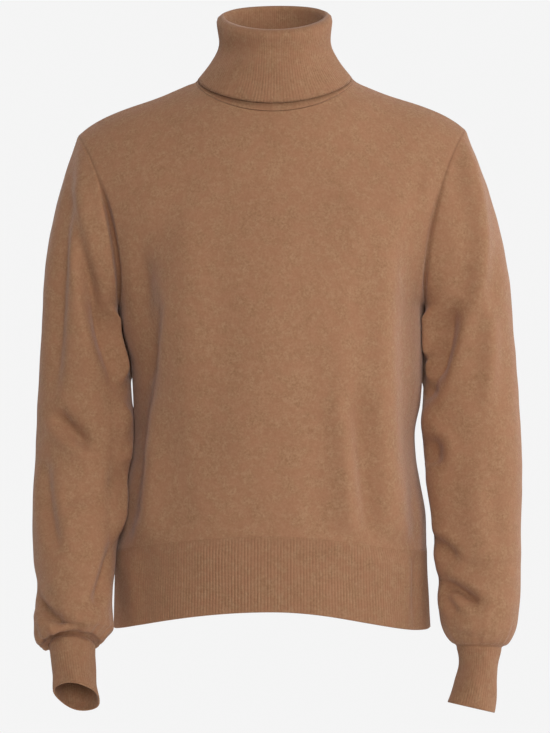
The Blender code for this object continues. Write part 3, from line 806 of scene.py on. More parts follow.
def fold_depth(points, folds):
    """How far the folds move each point.

    Each is a bell-shaped bank across its line, with a low welt on both sides of it, that fades at
    the line's ends.
    """
    moved = np.zeros(points.shape[:-1])
    t = np.linspace(0, 1, FOLD_STEPS)
    for x0, z0, x1, z1, x2, z2, width, depth in zip(*folds.values()):
        line_x = (1 - t) ** 2 * x0 + 2 * t * (1 - t) * x1 + t**2 * x2
        line_z = (1 - t) ** 2 * z0 + 2 * t * (1 - t) * z1 + t**2 * z2
        away = (points[..., 0, None] - line_x) ** 2 + (points[..., 2, None] - line_z) ** 2
        fade = 1 - (2 * t[np.argmin(away, axis=-1)] - 1) ** 4
        s = np.sqrt(away.min(axis=-1)) / width
        bank = bell(s) - FOLD_WELT * bell(s - FOLD_WELT_PLACE)
        moved += depth * (FOLD_END + (1 - FOLD_END) * fade) * bank
    return moved


def press(points, side):
    """Flattens the side of a sleeve that lies against the body, so that it follows the body.

    A gap to the body below PRESS_FULL closes, and one up to PRESS_REACH shrinks.
    """
    height, y = points[..., 2], points[..., 1]
    wide, front, back = curves(height, TRUNK, "right" if side < 0 else "left", "front", "back")
    body = wide * np.sqrt(np.clip(1 - (y / np.where(y < 0, front, back)) ** 2, 0, 1))
    for start, full, last, end, gap in zip(*PRESSED[side].values()):
        held = ease(-start, -full, -height) * ease(-end, -last, -height)
        clear = gap + (PRESS_GAP - gap) * ease(*PRESS_BEHIND, y)
        over = side * points[..., 0] - body - clear
        pull = np.where(over > 0, over * (1 - ease(PRESS_FULL, PRESS_REACH, over)), over) * held
        points[..., 0] -= side * pull * (over < PRESS_REACH)
    return points


def valley(points, distance, side):
    """How deep the sleeve's seam sinks: a bell across it, and a window along its height."""
    height = points[..., 2]
    window = ease(VALLEY_STARTS, VALLEY_FULL, height) * ease(VALLEY_ENDS, VALLEY_LAST, height)
    share = VALLEY_BEHIND + (1 - VALLEY_BEHIND) * ease(*VALLEY_TURNS, points[..., 1])
    depth = np.where(side < 0, VALLEY_DEPTH[-1], VALLEY_DEPTH[1])
    return depth * share * window * bell(distance, VALLEY_WIDTH)


def waver(points, size):
    """Low uneven waves, a sum of sines that run several ways: soft knit is never quite smooth."""
    x, y, z = points[..., 0], points[..., 1], points[..., 2]
    return size * (
        0.45 * np.sin(x / 17 + 1.3 * np.sin(z / 41) + y / 37)
        + 0.35 * np.sin(z / 23 - x / 31 + 2.1)
        + 0.25 * np.sin((x + z) / 11 + 1.7 * np.sin(z / 29) + y / 13)
        + 0.20 * np.sin((x - 1.4 * z) / 9.0 + 0.7 + y / 21)
        + 0.10 * np.sin(x / 4.7 + 1.9 * np.sin(z / 12) + y / 6)
        + 0.10 * np.sin(z / 5.3 + 1.7 * np.sin(x / 14 + y / 9))
    )


def seam_dip(distance, depth):
    """A narrow furrow at the seam with a low welt beside it, both bell-shaped."""
    welt = SEAM_WELT * bell(distance - SEAM_WELT_PLACE, SEAM_WELT_WIDTH)
    return depth * (-bell(distance, SEAM_WIDTH) + welt)


def rounded_edge(distance, half):
    """How far a wall's face draws in as it nears its loose edge, nearly along a circle."""
    near = np.clip(1 - distance / half, 0, 1)
    return half * (1 - np.sqrt(1 - EDGE_ROUND * near**2))


def to_scene(points):
    """Leans the shoulders, and turns millimetres into metres."""
    lean = ease(TILT_FROM, TILT_FULL, points[..., 2])
    leaning = points.copy()
    leaning[..., 2] += HEIGHT_TILT * points[..., 0] * lean
    return leaning * MM


def ribs(place):
    """The relief across ribs: a power of the cosine, 0.5 at each whole place and -0.5 between."""
    return np.abs(np.cos(np.pi * place)) ** RIB_SHARPNESS - 0.5


def shut(grid):
    """A grid with its first column again at its end."""
    return np.concatenate([grid, grid[:, :1]], axis=1)


def quads(grid):
    """The four-sided faces of a grid of numbered points."""
    corners = [grid[:-1, :-1], grid[:-1, 1:], grid[1:, 1:], grid[1:, :-1]]
    return np.stack(corners, axis=-1).reshape(-1, 4)


def strip(a, b):
    """The four-sided faces between two rows of numbered points."""
    return np.stack([a[:-1], a[1:], b[1:], b[:-1]], axis=-1)


def knit_wall(name, outer, inner, closed, uv, seam):
    """A wall of knit as one closed mesh: its outside, its inside, and rims where they end.

    outer and inner are grids of points. uv gives each point's place in the knit, across and along,
    with one more column than a closed grid. seam is each point's distance from the nearest seam.
    """
    rows, columns = outer.shape[:2]
    grid = np.arange(rows * columns).reshape(rows, columns)
    places = np.arange(rows * uv.shape[1]).reshape(rows, uv.shape[1])
    if closed:
        grid = shut(grid)
    inside = grid + rows * columns
    faces = [quads(grid), quads(inside)[:, ::-1]]
    faces += [strip(inside[0], grid[0]), strip(grid[-1], inside[-1])]
    corners = [quads(places), quads(places)[:, ::-1]]
    corners += [strip(places[row], places[row]) for row in (0, -1)]
    if not closed:
        faces += [strip(grid[:, 0], inside[:, 0]), strip(inside[:, -1], grid[:, -1])]
        corners += [strip(places[:, column], places[:, column]) for column in (0, -1)]
    points = np.concatenate([outer.reshape(-1, 3), inner.reshape(-1, 3)])
    corner_uv = uv.reshape(-1, 2)[np.concatenate(corners)]
    return knit_mesh(name, points, np.concatenate(faces), corner_uv, np.tile(seam.reshape(-1), 2))


def knit_mesh(name, points, faces, corner_uv, seam):
    """Puts points in millimetres, four-sided faces and their yarn places into a mesh."""
    mesh = bpy.data.meshes.new(name)
    mesh.from_pydata(to_scene(points), [], faces)
    layer = mesh.uv_layers.new(name="yarn")
    layer.data.foreach_set("uv", corner_uv.astype(np.float32).ravel())
    # Each point's distance from a seam, which the yarn reads to paint shade near seams.
    mark = mesh.attributes.new("seam", "FLOAT", "POINT")
    mark.data.foreach_set("value", seam.astype(np.float32))
    if signed_volume(mesh) < 0:
        mesh.flip_normals()
    mesh.polygons.foreach_set("use_smooth", np.ones(len(mesh.polygons), bool))
    mesh.update()
    piece = bpy.data.objects.new(name, mesh)
    bpy.context.scene.collection.objects.link(piece)
    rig.ride(piece, "root")
    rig.slot(piece, "knit")
    return piece


def signed_volume(mesh):
    """The volume a closed mesh holds, below zero when it is inside out."""
    points = np.empty(len(mesh.vertices) * 3, np.float32)
    mesh.vertices.foreach_get("co", points)
    mesh.calc_loop_triangles()
    corners = np.empty(len(mesh.loop_triangles) * 3, np.int32)
    mesh.loop_triangles.foreach_get("vertices", corners)
    a, b, c = points.reshape(-1, 3).astype(float)[corners.reshape(-1, 3)].transpose(1, 0, 2)
    return (a * np.cross(b, c)).sum() / 6


# ---- pieces

BODY_ROUGH = (97, 61)  # rows and columns that are worked out, before they are read more finely
BODY_FINE = (182, 172)
STEADY_SIDE, STEADY_TOP, STEADY_FOOT = 6, 0.3, 0.07  # where a panel's folds fade towards its edges
HEM_ROWS, CUFF_ROWS = 16, 22
HEM_PER_DEGREE = 3.9  # the way along the hem for a degree round it
HEM_FADES, SLEEVE_FADES, CUFF_FADE = (12, 18), (18, 22), 14  # how far from their ends folds fade
SLEEVE_CAP_ROWS, SLEEVE_ROW_STEPS, SLEEVE_TURNS = 16, 4, 132
SLEEVE_FINE = 200
SLEEVE_FREE = (4, 8)  # rows at its top and foot that are relaxed less
SLEEVE_FOLD_TURN = 2.5  # how fast folds fade where a sleeve turns sideways
BODY_ROUNDS, SLEEVE_ROUNDS = 14, 6  # how often the rough grid is relaxed
CLOSER_PLACES = (0.1, 0.22, 0.4, 0.65)  # extra rows beside an edge, in steps


def body_panel(name, facing, sizes):
    """The front or back, from the rib to the shoulders.

    Its surface is relaxed, read more finely, and moved along its normals by folds and low waves
    that fade near its edges. At a seam it sinks along the way into the wall, which turns there from
    the normal to the seam's own plane.
    """
    rough_rows, rough_columns = BODY_ROUGH
    across, rise = np.meshgrid(np.linspace(-1, 1, rough_columns), np.linspace(-1, 1, rough_rows))
    outer = relax(body_surface(across, rise, facing), 0.5 * (np.abs(across) < 1), BODY_ROUNDS)
    across, rise = spaced(BODY_FINE[1]), spaced(BODY_FINE[0])
    outer = refine(outer, rise * (rough_rows - 1))
    outer = refine(outer.transpose(1, 0, 2), across * (rough_columns - 1)).transpose(1, 0, 2)
    across, rise = np.meshgrid(2 * across - 1, 2 * rise - 1)
    normal = outward(outer, False) * -facing
    steady = (1 - np.abs(across) ** STEADY_SIDE) * np.clip((1 - rise) / STEADY_TOP, 0, 1)
    steady *= np.clip((rise + 1) / STEADY_FOOT, 0, 1)
    folds = fold_depth(outer, BODY_FOLDS[facing]) + fold_depth(outer, BODY_CREASES[facing])
    loose = sizes.crease * folds + waver(outer, sizes.waver)
    outer = outer + normal * (loose * steady)[..., None]
    normal = outward(outer, False) * -facing

    along, beside = lengths(outer, 0), lengths(outer, 1)
    from_side = np.minimum(beside, beside[:, -1:] - beside)
    from_top = along[-1:] - along
    side = np.where(across < 0, -1.0, 1.0)
    to_middle = np.where((rise >= 0)[..., None], to_armhole(outer), stack(-side, 0, 0))
    to_neck = unit(stack(NECK_X - outer[..., 0], NECK_Y - outer[..., 1], 0))
    at_neck = np.abs(across) < NECK_SHARE
    to_top = np.where(at_neck[..., None], to_neck, [0, 0, -1.0])
    inward = turned(-normal, to_middle, from_side, EDGE_REACH)
    inward = turned(inward, to_top, from_top, EDGE_REACH)
    seam = np.minimum(from_side, from_top + NECK_SEAM_HIDES * at_neck)
    dip = seam_dip(seam, sizes.seam) * np.where(rise < 0, SIDE_SEAM_SHARE, 1)
    outer = outer + inward * (valley(outer, from_side, side) - dip)[..., None]
    uv = np.stack([beside - beside[:, [beside.shape[1] // 2]], along], axis=-1)
    return knit_wall(name, outer, outer + sizes.wall * inward, False, uv, seam)


def hem_band(name, facing, sizes):
    """The hem's rib under the front or back: an oval band with ridges and furrows by turns.

    Each face lies half a wall from the middle of the band, with the ribs' relief and low waves.
    """
    place = np.arange(HEM_RIBS * RIB_STEPS + 1) / RIB_STEPS
    angle = place / HEM_RIBS * 180 - 90
    low, high = hem_height(angle, facing), rib_height(angle, facing)
    height = low + (high - low) * spaced(HEM_ROWS)[:, None]
    middle = trunk(np.broadcast_to(angle, height.shape), height, facing)
    out = unit(middle * [1, 1, 0])
    half = sizes.wall / 2
    middle = middle - half * out
    from_edge, from_top = height - low, high - height
    from_side = (90 - np.abs(angle)) * HEM_PER_DEGREE + 0 * height
    relief = sizes.rib * ribs(place) * ease(*RIB_ENDS, from_top) * ease(*RIB_STARTS, from_edge)
    relief = relief * ease(*RIB_SIDES, from_side)
    thick = half - rounded_edge(from_edge, half)
    lie = waver(middle, 0.5 * sizes.waver) + 0.5 * np.sin(height / 14 + place / 9)
    lie += sizes.crease * fold_depth(middle, HEM_CREASES[facing])
    lie = lie * ease(0, HEM_FADES[0], from_side) * ease(0, HEM_FADES[1], from_top)
    dip = seam_dip(from_side, sizes.seam)
    outer = middle + (thick + relief + lie + dip)[..., None] * out
    inner = middle - (thick - relief - lie)[..., None] * out
    uv = np.stack(np.broadcast_arrays(place, from_edge), axis=-1)
    seam = np.minimum(from_side, np.maximum(from_top, 1.0) + HEM_SEAM_HIDES)
    return knit_wall(name, outer, inner, False, uv, seam)


def sleeve(name, side, rows, sizes):
    """From the armhole to the seam with the cuff, with gathers where it is drawn in.

    Its surface moves as the body's does. The gathers are two sines round it, each swayed by a
    slower one, and it hangs in a small droop over the cuff.
    """
    turns = np.arange(SLEEVE_TURNS) * 360.0 / SLEEVE_TURNS
    cap_turn, cap_share = np.meshgrid(turns, np.linspace(0, 1, SLEEVE_CAP_ROWS + 1)[:-1])
    arm_rows = np.arange(CUFF_ROW * SLEEVE_ROW_STEPS + 1) / SLEEVE_ROW_STEPS
    arm_turn, arm_row = np.meshgrid(turns, arm_rows)
    cap, arm = sleeve_cap(cap_turn, cap_share, side, rows), arm_ring(rows, side, arm_row, arm_turn)
    outer = np.concatenate([cap, arm])
    row = np.arange(len(outer))[:, None]
    free = np.clip(np.minimum(row / SLEEVE_FREE[0], (len(outer) - 1 - row) / SLEEVE_FREE[1]), 0, 1)
    outer = relax(outer, 0.5 * free, SLEEVE_ROUNDS)
    reach = lengths(outer, 0).mean(axis=1)
    outer = refine(outer, np.interp(spaced(SLEEVE_FINE) * reach[-1], reach, np.arange(len(reach))))
    normal = ring_normal(outer)
    along = lengths(outer, 0)
    from_top, from_cuff = along, along[-1:] - along
    before, behind = (
        fold_depth(outer, SLEEVE_FOLDS[side, way]) + fold_depth(outer, SLEEVE_CREASES[side, way])
        for way in (-1, 1)
    )
    depth = sizes.crease * np.where(normal[..., 1] < 0, before, behind)
    depth *= np.clip(np.abs(normal[..., 1]) * SLEEVE_FOLD_TURN, 0, 1)
    depth = (depth + waver(outer, sizes.waver)) * ease(0, SLEEVE_FADES[0], from_top)
    depth = depth * ease(0, SLEEVE_FADES[1], from_cuff)
    angle = np.radians(turns)
    gather = np.sin(13 * angle + 1.6 * np.sin(3 * angle))
    gather = gather + 0.6 * np.sin(21 * angle + 2.0 * np.sin(2 * angle + side))
    gather = sizes.gather * GATHER_SHARE[side] * gather
    depth += gather * ease(*GATHER_FROM, from_cuff) * ease(*GATHER_TO, from_cuff)
    outer = press(outer + normal * depth[..., None], side)

    inward = turned(-ring_normal(outer), to_armhole(outer), from_top, EDGE_REACH)
    to_middle = unit(outer.mean(axis=1, keepdims=True) - outer)
    inward = turned(inward, to_middle, from_cuff, CUFF_EDGE_REACH)
    sunk = valley(outer, from_top, side) - seam_dip(from_top, sizes.seam)
    sunk += CUFF_VALLEY[side] * bell(from_cuff, CUFF_VALLEY_WIDTH)
    outer = outer + inward * sunk[..., None]
    outer[..., 2] -= CUFF_DROOP[side] * bell(from_cuff - DROOP_PLACE, DROOP_WIDTH)
    uv = np.stack([lengths(shut(outer), 1), shut(along)], axis=-1)
    seam = np.minimum(from_top, from_cuff)
    return knit_wall(name, outer, outer + sizes.wall * inward, True, uv, seam)


def cuff(name, side, rows, sizes):
    """A ribbed tube from the drawn-in end of the sleeve to its loose edge, made as the hem is."""
    place = np.arange(CUFF_RIBS * RIB_STEPS) / RIB_STEPS
    turn = place / CUFF_RIBS * 360
    angle = np.radians(turn)
    row = CUFF_ROW + spaced(CUFF_ROWS) * (len(rows["height"]) - 1 - CUFF_ROW)
    turn_grid, row_grid = np.meshgrid(turn, row)
    ring = arm_ring(rows, side, row_grid, turn_grid)
    out = unit(ring - ring.mean(axis=1, keepdims=True))
    along = lengths(ring, 0)
    from_edge = along[-1:] - along
    relief = sizes.rib * ribs(place) * ease(*RIB_STARTS, from_edge) * ease(*CUFF_RIB_ENDS, along)
    half = sizes.wall / 2
    thick = half - rounded_edge(from_edge, half)
    lie = 0.5 * np.sin(3 * angle + along / 11) + 0.4 * np.sin(5 * angle - along / 8)
    lie = lie * ease(0, CUFF_FADE, along) - CUFF_VALLEY[side] * bell(along, CUFF_VALLEY_WIDTH)
    middle = ring - half * out
    outer = middle + (thick + relief + lie)[..., None] * out
    inner = middle - (thick - relief - lie)[..., None] * out
    uv = np.stack(np.broadcast_arrays(np.append(place, CUFF_RIBS), shut(along)), axis=-1)
    # Painted shade: the cuff's distance from its seam starts at 1 mm, so its top is darkened less than other seams.
    return knit_wall(name, outer, inner, True, uv, along + 1.0)


# The collar's profile, once round its wall. "down" runs from the top to the loose edge on the
# fall, and from the top to the neckline on the stand. The others are half widths.
COLLAR_FALL = table("down side front back", """
    1 84.4 73 74
    0.73 69.6 68.6 68.6
    0.46 60.8 64.2 64
    0.09 63.6 64.6 63
    0 58.6 58.4 58
""")
COLLAR_STAND = table("down side front back", """
    0.05 53.9 53.8 53.5
    0.5 55.4 58.3 57.4
    0.88 71.5 66 65.2
    1 84 69 69
    1 86 71 71
    0.88 73.5 68 67.2
    0.5 57.4 60.3 59.4
    0.08 56 56 55.6
    0.03 58.7 58.5 58.1
""")
COLLAR_GAP_SIDE = table("down side front back", """
    0.09 61.6 62.6 61
    0.46 58.8 62.2 62
    0.73 67.6 66.6 66.6
    1 82.4 71 72
""")
# How much of a rib's height each ring of the wall has, in the order of the three tables.
COLLAR_RIB_SHARE = (1, 1, 1, 0.8, 0.5, 0.6, 0.8, 0.8, 0, 0, 0.2, 0.3, 0, 0, 0, 0, 0.3, 0.8)
COLLAR_RINGS, COLLAR_RING_GAP = 76, 0.3  # rings round the wall, and the least way between two
COLLAR_INSIDE_RINGS = 4.5  # rings below the fold whose ribs rise inwards
FALL_HIDES_SEAM = 20  # added to the fall's distance from the neckline's seam


def collar(name, sizes):
    """Linked to the neckline, up to the top, rolled over and down again, as one ribbed wall.

    The wall is a closed profile of ovals, read at nearly even steps. Its ribs rise away from the
    neck, but towards it on the side that lies next to it.
    """
    place = np.arange(COLLAR_RIBS * RIB_STEPS) / RIB_STEPS
    turn = place / COLLAR_RIBS * 360
    angle = np.radians(turn)
    top = around_neck(turn, COLLAR_TOP_HEIGHT)
    rings = []
    for rows, foot, lift in (
        (COLLAR_FALL, COLLAR_EDGE_HEIGHT, 0),
        (COLLAR_STAND, NECKLINE_HEIGHT, COLLAR_LIFT),
        (COLLAR_GAP_SIDE, COLLAR_EDGE_HEIGHT, 0),
    ):
        drop = around_neck(turn, foot) - top
        for down, side, front, back in zip(*rows.values()):
            rings.append(neck_ring(turn, side, front, back, top + down * drop + lift * down))
    rings.append(rings[0])
    rough = np.stack(rings)
    reach = lengths(rough[:, :: len(turn) // 8], 0).mean(axis=1)
    even = np.unique(np.concatenate([np.linspace(0, reach[-1], COLLAR_RINGS + 1), reach]))
    even = even[np.append(np.diff(even) > COLLAR_RING_GAP, True)]
    at = np.interp(even, reach, np.arange(len(reach)))
    wall = refine(rough, at)
    wall[-1] = wall[0]
    out = unit((wall - [NECK_X, NECK_Y, 0]) * [1, 1, 0])
    last_fall = len(COLLAR_FALL["down"]) - 1
    fall = at <= last_fall
    inside = (at > last_fall) & (at < last_fall + COLLAR_INSIDE_RINGS)
    gap_side = at > last_fall + len(COLLAR_STAND["down"])
    share = np.interp(at, np.arange(len(reach)), (*COLLAR_RIB_SHARE, COLLAR_RIB_SHARE[0]))
    relief = sizes.rib * ribs(place) * share[:, None] * np.where(inside, -1.0, 1.0)[:, None]
    lie = 0.6 * np.sin(4 * angle + wall[..., 2] / 17) + 0.4 * np.sin(7 * angle - wall[..., 2] / 11)
    lie = lie * np.where(fall, np.sin(np.pi * np.clip(at / last_fall, 0, 1)), 0)[:, None]
    folds = fold_depth(wall, COLLAR_CREASES) * (out[..., 1] < 0) * (fall | gap_side)[:, None]
    lie = lie + sizes.crease * folds
    wall = (wall + (relief + lie)[..., None] * out)[:-1]
    rows, columns = wall.shape[:2]
    grid = shut(np.arange(rows * columns).reshape(rows, columns))
    grid = np.concatenate([grid, grid[:1]])
    uv = np.stack(np.broadcast_arrays(np.append(place, COLLAR_RIBS), even[:, None]), axis=-1)
    corners = quads(np.arange(uv[..., 0].size).reshape(uv.shape[:2]))
    seam = np.abs(wall[..., 2] - around_neck(turn, NECKLINE_HEIGHT))
    seam = seam + FALL_HIDES_SEAM * fall[:-1, None] + NECK_SEAM_HIDES
    corner_uv = uv.reshape(-1, 2)[corners]
    return knit_mesh(name, wall.reshape(-1, 3), quads(grid), corner_uv, seam.reshape(-1))


# ---- yarn


class Nodes:
    """Places nodes in a tree and joins their sockets."""

    def __init__(self, tree):
        self.tree = tree

    def give(self, value, socket):
        """Joins a socket to another one, or sets its value."""
        if hasattr(value, "is_output"):
            self.tree.links.new(value, socket)
        else:
            socket.default_value = value

    def add(self, kind, values=None, **settings):
        """A new node. values go to its sockets, and settings to the node itself."""
        node = self.tree.nodes.new(kind)
        for name, value in settings.items():
            setattr(node, name, value)
        for name, value in (values or {}).items():
            self.give(value, node.inputs[name])
        return node

    def math(self, operation, a, b=0.0, c=0.0):
        return self.add("ShaderNodeMath", {0: a, 1: b, 2: c}, operation=operation).outputs[0]

    def mix(self, share, a, b):
        """From colour a to b by a share. Sockets 0, 6 and 7 take them, and 2 gives the mix."""
        return self.add("ShaderNodeMix", {0: share, 6: a, 7: b}, data_type="RGBA").outputs[2]

    def span(self, value, low, high, most):
        """0 at low and most at high, in a straight line, and no further."""
        values = {0: value, 1: low, 2: high, 3: 0.0, 4: most}
        return self.add("ShaderNodeMapRange", values).outputs[0]


def new_group(name, inputs, outputs):
    """An empty node group with its sockets. Each input has a label, a kind and a value."""
    group = bpy.data.node_groups.new(name, "ShaderNodeTree")
    for label, kind, value in inputs:
        group.interface.new_socket(label, in_out="INPUT", socket_type=kind).default_value = value
    for label, kind in outputs:
        group.interface.new_socket(label, in_out="OUTPUT", socket_type=kind)
    return group


# The grains of the yarn, from patches down to fibres: a noise's scale, detail and roughness, and
# how far it takes the colour to the dark or light fibre.
YARN_GRAINS = ((22, 3, 0.5, 0.10), (150, 3, 0.6, 0.48), (420, 3, 0.6, 0.62), (1100, 2, 0.6, 0.20))
GRAIN_MEAN, GRAIN_SPREAD = 0.5, 0.2  # a grain is at its most this far from a noise's mean
RED_GRAIN, RED_SPREAD, RED_SHARE = (75, 3, 0.6), 0.12, 0.55
FUZZ_FLECK, FUZZ_FIBRE = 0.9, 0.45  # how far two of the grains raise the fuzz


def heather_group(colours):
    """Mixed fibres of camel yarn: noise of four sizes chooses between its dark and light fibres."""
    fibres = (
        ("Camel", colours.camel),
        ("Dark fibre", colours.dark),
        ("Light fibre", colours.light),
        ("Red fibre", colours.red),
    )
    group = new_group(
        "heathered_camel",
        [(label, "NodeSocketColor", (*fibre, 1)) for label, fibre in fibres],
        [("Colour", "NodeSocketColor"), ("Fuzz", "NodeSocketFloat")],
    )
    nodes = Nodes(group)
    given = nodes.add("NodeGroupInput").outputs
    here = nodes.add("ShaderNodeTexCoord").outputs["Object"]

    def noise(scale, detail, rough):
        values = {"Vector": here, "Scale": scale, "Detail": detail, "Roughness": rough}
        return nodes.add("ShaderNodeTexNoise", values).outputs["Fac"]

    colour, grains = given["Camel"], []
    for scale, detail, rough, most in YARN_GRAINS:
        grain = noise(scale, detail, rough)
        for label, spread in (("Dark fibre", GRAIN_SPREAD), ("Light fibre", -GRAIN_SPREAD)):
            share = nodes.span(grain, GRAIN_MEAN, GRAIN_MEAN + spread, most)
            colour = nodes.mix(share, colour, given[label])
        grains.append(grain)
    red = nodes.span(noise(*RED_GRAIN), GRAIN_MEAN - RED_SPREAD, GRAIN_MEAN + RED_SPREAD, RED_SHARE)
    colour = nodes.mix(red, colour, given["Red fibre"])
    _, _, fleck, fibre = grains
    fuzz = nodes.math("MULTIPLY_ADD", fibre, FUZZ_FIBRE, nodes.math("MULTIPLY", fleck, FUZZ_FLECK))
    nodes.add("NodeGroupOutput", {"Colour": colour, "Fuzz": fuzz})
    return group


def stitch_group():
    """Rows of V stitches, worked out from the knit's own map.

    Across a wale, the height is two rounded legs. Along it, a sine slides down as it leaves the
    middle of the wale, so that the legs lean together.
    """
    sizes = {"Wale": 1.9, "Course": 1.4, "Lean": 1.2}
    group = new_group(
        "stocking_stitch",
        [(label, "NodeSocketFloat", size) for label, size in sizes.items()],
        [("Height", "NodeSocketFloat"), ("Furrow", "NodeSocketFloat")],
    )
    nodes = Nodes(group)
    given = nodes.add("NodeGroupInput").outputs
    here = nodes.add("ShaderNodeUVMap", uv_map="yarn").outputs[0]
    place = nodes.add("ShaderNodeSeparateXYZ", {0: here}).outputs
    wander = nodes.add("ShaderNodeTexNoise", {"Scale": 0.12, "Detail": 1.0, "Vector": here})
    drift = nodes.math("MULTIPLY_ADD", wander.outputs["Fac"], 0.5, -0.25)
    wale = nodes.math("ADD", nodes.math("DIVIDE", place[0], given["Wale"]), drift)
    off = nodes.math("ABSOLUTE", nodes.math("SUBTRACT", nodes.math("FRACT", wale), 0.5))
    course = nodes.math("DIVIDE", place[1], given["Course"])
    course = nodes.math("MULTIPLY_ADD", off, given["Lean"], course)
    stripe = nodes.math("SINE", nodes.math("MULTIPLY", course, math.tau))
    stripe = nodes.math("MULTIPLY_ADD", stripe, 0.5, 0.5)
    leg = nodes.math("SINE", nodes.math("MULTIPLY", off, math.tau))
    height = nodes.math("MULTIPLY", leg, nodes.math("MULTIPLY_ADD", stripe, 0.5, 0.5))
    nodes.add("NodeGroupOutput", {"Height": height, "Furrow": nodes.math("SUBTRACT", 1.0, leg)})
    return group


FURROW_STARTS, FURROW_SHADE = 0.5, 0.10  # where the painted shade in a furrow between stitches begins, and how dark it gets
SEAM_REACH, SEAM_SHADE = 2.0, 0.3  # how far from a seam the painted seam shade reaches, and how dark it gets


def knit_material(name, look, heather, stitches, shade, wale, course, relief):
    """Matt brushed yarn: heathered colour, stitches under a fuzz, and a sheen for its pale nap."""
    material = bpy.data.materials.new(name)
    material.use_nodes = True
    tree = material.node_tree
    tree.nodes.clear()
    nodes = Nodes(tree)
    yarn = nodes.add("ShaderNodeGroup", node_tree=heather)
    # shade scales all of the yarn's colours. Below 1 it is painted shade, as on the rib copy.
    for socket in yarn.inputs:
        socket.default_value = [shade * part for part in socket.default_value[:3]] + [1]
    knit = nodes.add("ShaderNodeGroup", node_tree=stitches)
    knit.inputs["Wale"].default_value = wale
    knit.inputs["Course"].default_value = course
    # Painted shade: the furrows between stitches are darkened toward the dark fibre colour.
    furrow = nodes.span(knit.outputs["Furrow"], FURROW_STARTS, 1.0, FURROW_SHADE)
    colour = nodes.mix(furrow, yarn.outputs["Colour"], (*look.dark, 1))
    # Painted shade: within SEAM_REACH of a seam the yarn is darkened toward the seam shade colour.
    seam = nodes.add("ShaderNodeAttribute", attribute_name="seam").outputs["Fac"]
    colour = nodes.mix(nodes.span(seam, SEAM_REACH, 0.0, SEAM_SHADE), colour, (*look.seam, 1))
    height = nodes.math("MULTIPLY_ADD", knit.outputs["Height"], relief, yarn.outputs["Fuzz"])
    bump = nodes.add("ShaderNodeBump", {"Strength": 0.45, "Distance": 0.0007, "Height": height})
    shader = nodes.add("ShaderNodeBsdfPrincipled", {
        "Base Color": colour,
        "Roughness": 0.92,
        "Specular IOR Level": 0.12,
        "Sheen Weight": 0.32,
        "Sheen Roughness": 0.4,
        "Sheen Tint": (*look.nap, 1),
        "Normal": bump.outputs[0],
    })
    nodes.add("ShaderNodeOutputMaterial", {"Surface": shader.outputs[0]})
    return material


def yarn_materials(context):
    """The two knits, made once: jersey for body and sleeves, rib for the rest. Sizes are in mm."""
    look = context.scene.sweater_yarn
    if "camel_jersey" not in bpy.data.materials:
        groups = heather_group(look), stitch_group()
        knit_material("camel_jersey", look, *groups, shade=1.0, wale=1.9, course=1.5, relief=0.55)
        # Painted shade: the rib copy's colours are darkened to 0.91 for the shade held between its deep ribs.
        knit_material("camel_rib", look, *groups, shade=0.91, wale=1.0, course=1.6, relief=0.3)
    return bpy.data.materials["camel_jersey"], bpy.data.materials["camel_rib"]


# ---- properties and operators


# What properties of one kind share.
COLOUR = dict(subtype="COLOR", size=3, min=0, max=1)
POWER = dict(unit="POWER", min=0, max=500)


class SweaterSizes(bpy.types.PropertyGroup):
    """Sizes of the knit, in millimetres."""

    wall: FloatProperty(
        name="Knit thickness", description="Thickness of the cloth in mm", default=1.8, min=1, max=3
    )
    rib: FloatProperty(
        name="Rib height", description="Height of a rib in mm", default=0.5, min=0.2, max=2
    )
    seam: FloatProperty(
        name="Seam depth", description="Depth of a seam's furrow in mm", default=0.6, min=0, max=2
    )
    crease: FloatProperty(
        name="Fold strength", description="Share of their full depth", default=1, min=0, max=1.5
    )
    waver: FloatProperty(
        name="Waver", description="Height of low waves all over in mm", default=0.5, min=0, max=2
    )
    gather: FloatProperty(
        name="Gathers", description="Height of a cuff's gathers in mm", default=0.8, min=0, max=3
    )


class SweaterYarn(bpy.types.PropertyGroup):
    """Colours of the yarn."""

    camel: FloatVectorProperty(
        name="Camel", description="Main colour of the yarn", default=(0.350, 0.186, 0.100), **COLOUR
    )
    # dark is both the heather's dark fibre and the colour of the painted shade in the furrows between stitches.
    dark: FloatVectorProperty(
        name="Dark fibre", description="Fibres and furrows", default=(0.250, 0.122, 0.062), **COLOUR
    )
    light: FloatVectorProperty(
        name="Light fibre", description="Lighter fibres", default=(0.440, 0.252, 0.146), **COLOUR
    )
    red: FloatVectorProperty(
        name="Red fibre", description="Redder fibres", default=(0.375, 0.178, 0.100), **COLOUR
    )
    # Painted shade: the colour that the yarn is darkened toward near a seam.
    seam: FloatVectorProperty(
        name="Seam shade", description="Deep in a seam", default=(0.12, 0.05, 0.025), **COLOUR
    )
    nap: FloatVectorProperty(
        name="Nap", description="Pale fuzz seen edge on", default=(0.80, 0.64, 0.60), **COLOUR
    )


class SweaterStudio(bpy.types.PropertyGroup):
    """Studio lights, whose sides are the wearer's, and backdrop."""

    side: FloatProperty(name="Side light", description="In front, at the left", default=26, **POWER)
    rim: FloatProperty(name="Rim light", description="Behind, at the left", default=40, **POWER)
    fill: FloatProperty(name="Fill light", description="Behind, at the right", default=14, **POWER)
    front: FloatProperty(name="Front light", description="Over the camera", default=65, **POWER)
    top: FloatProperty(name="Top light", description="Above the front", default=34, **POWER)
    back_wall: FloatProperty(
        name="Back wall", description="Strength of light from behind", default=1.13, min=0, max=5
    )
    backdrop: FloatProperty(
        name="Backdrop", description="Brightness of the background", default=0.91, min=0, max=1
    )


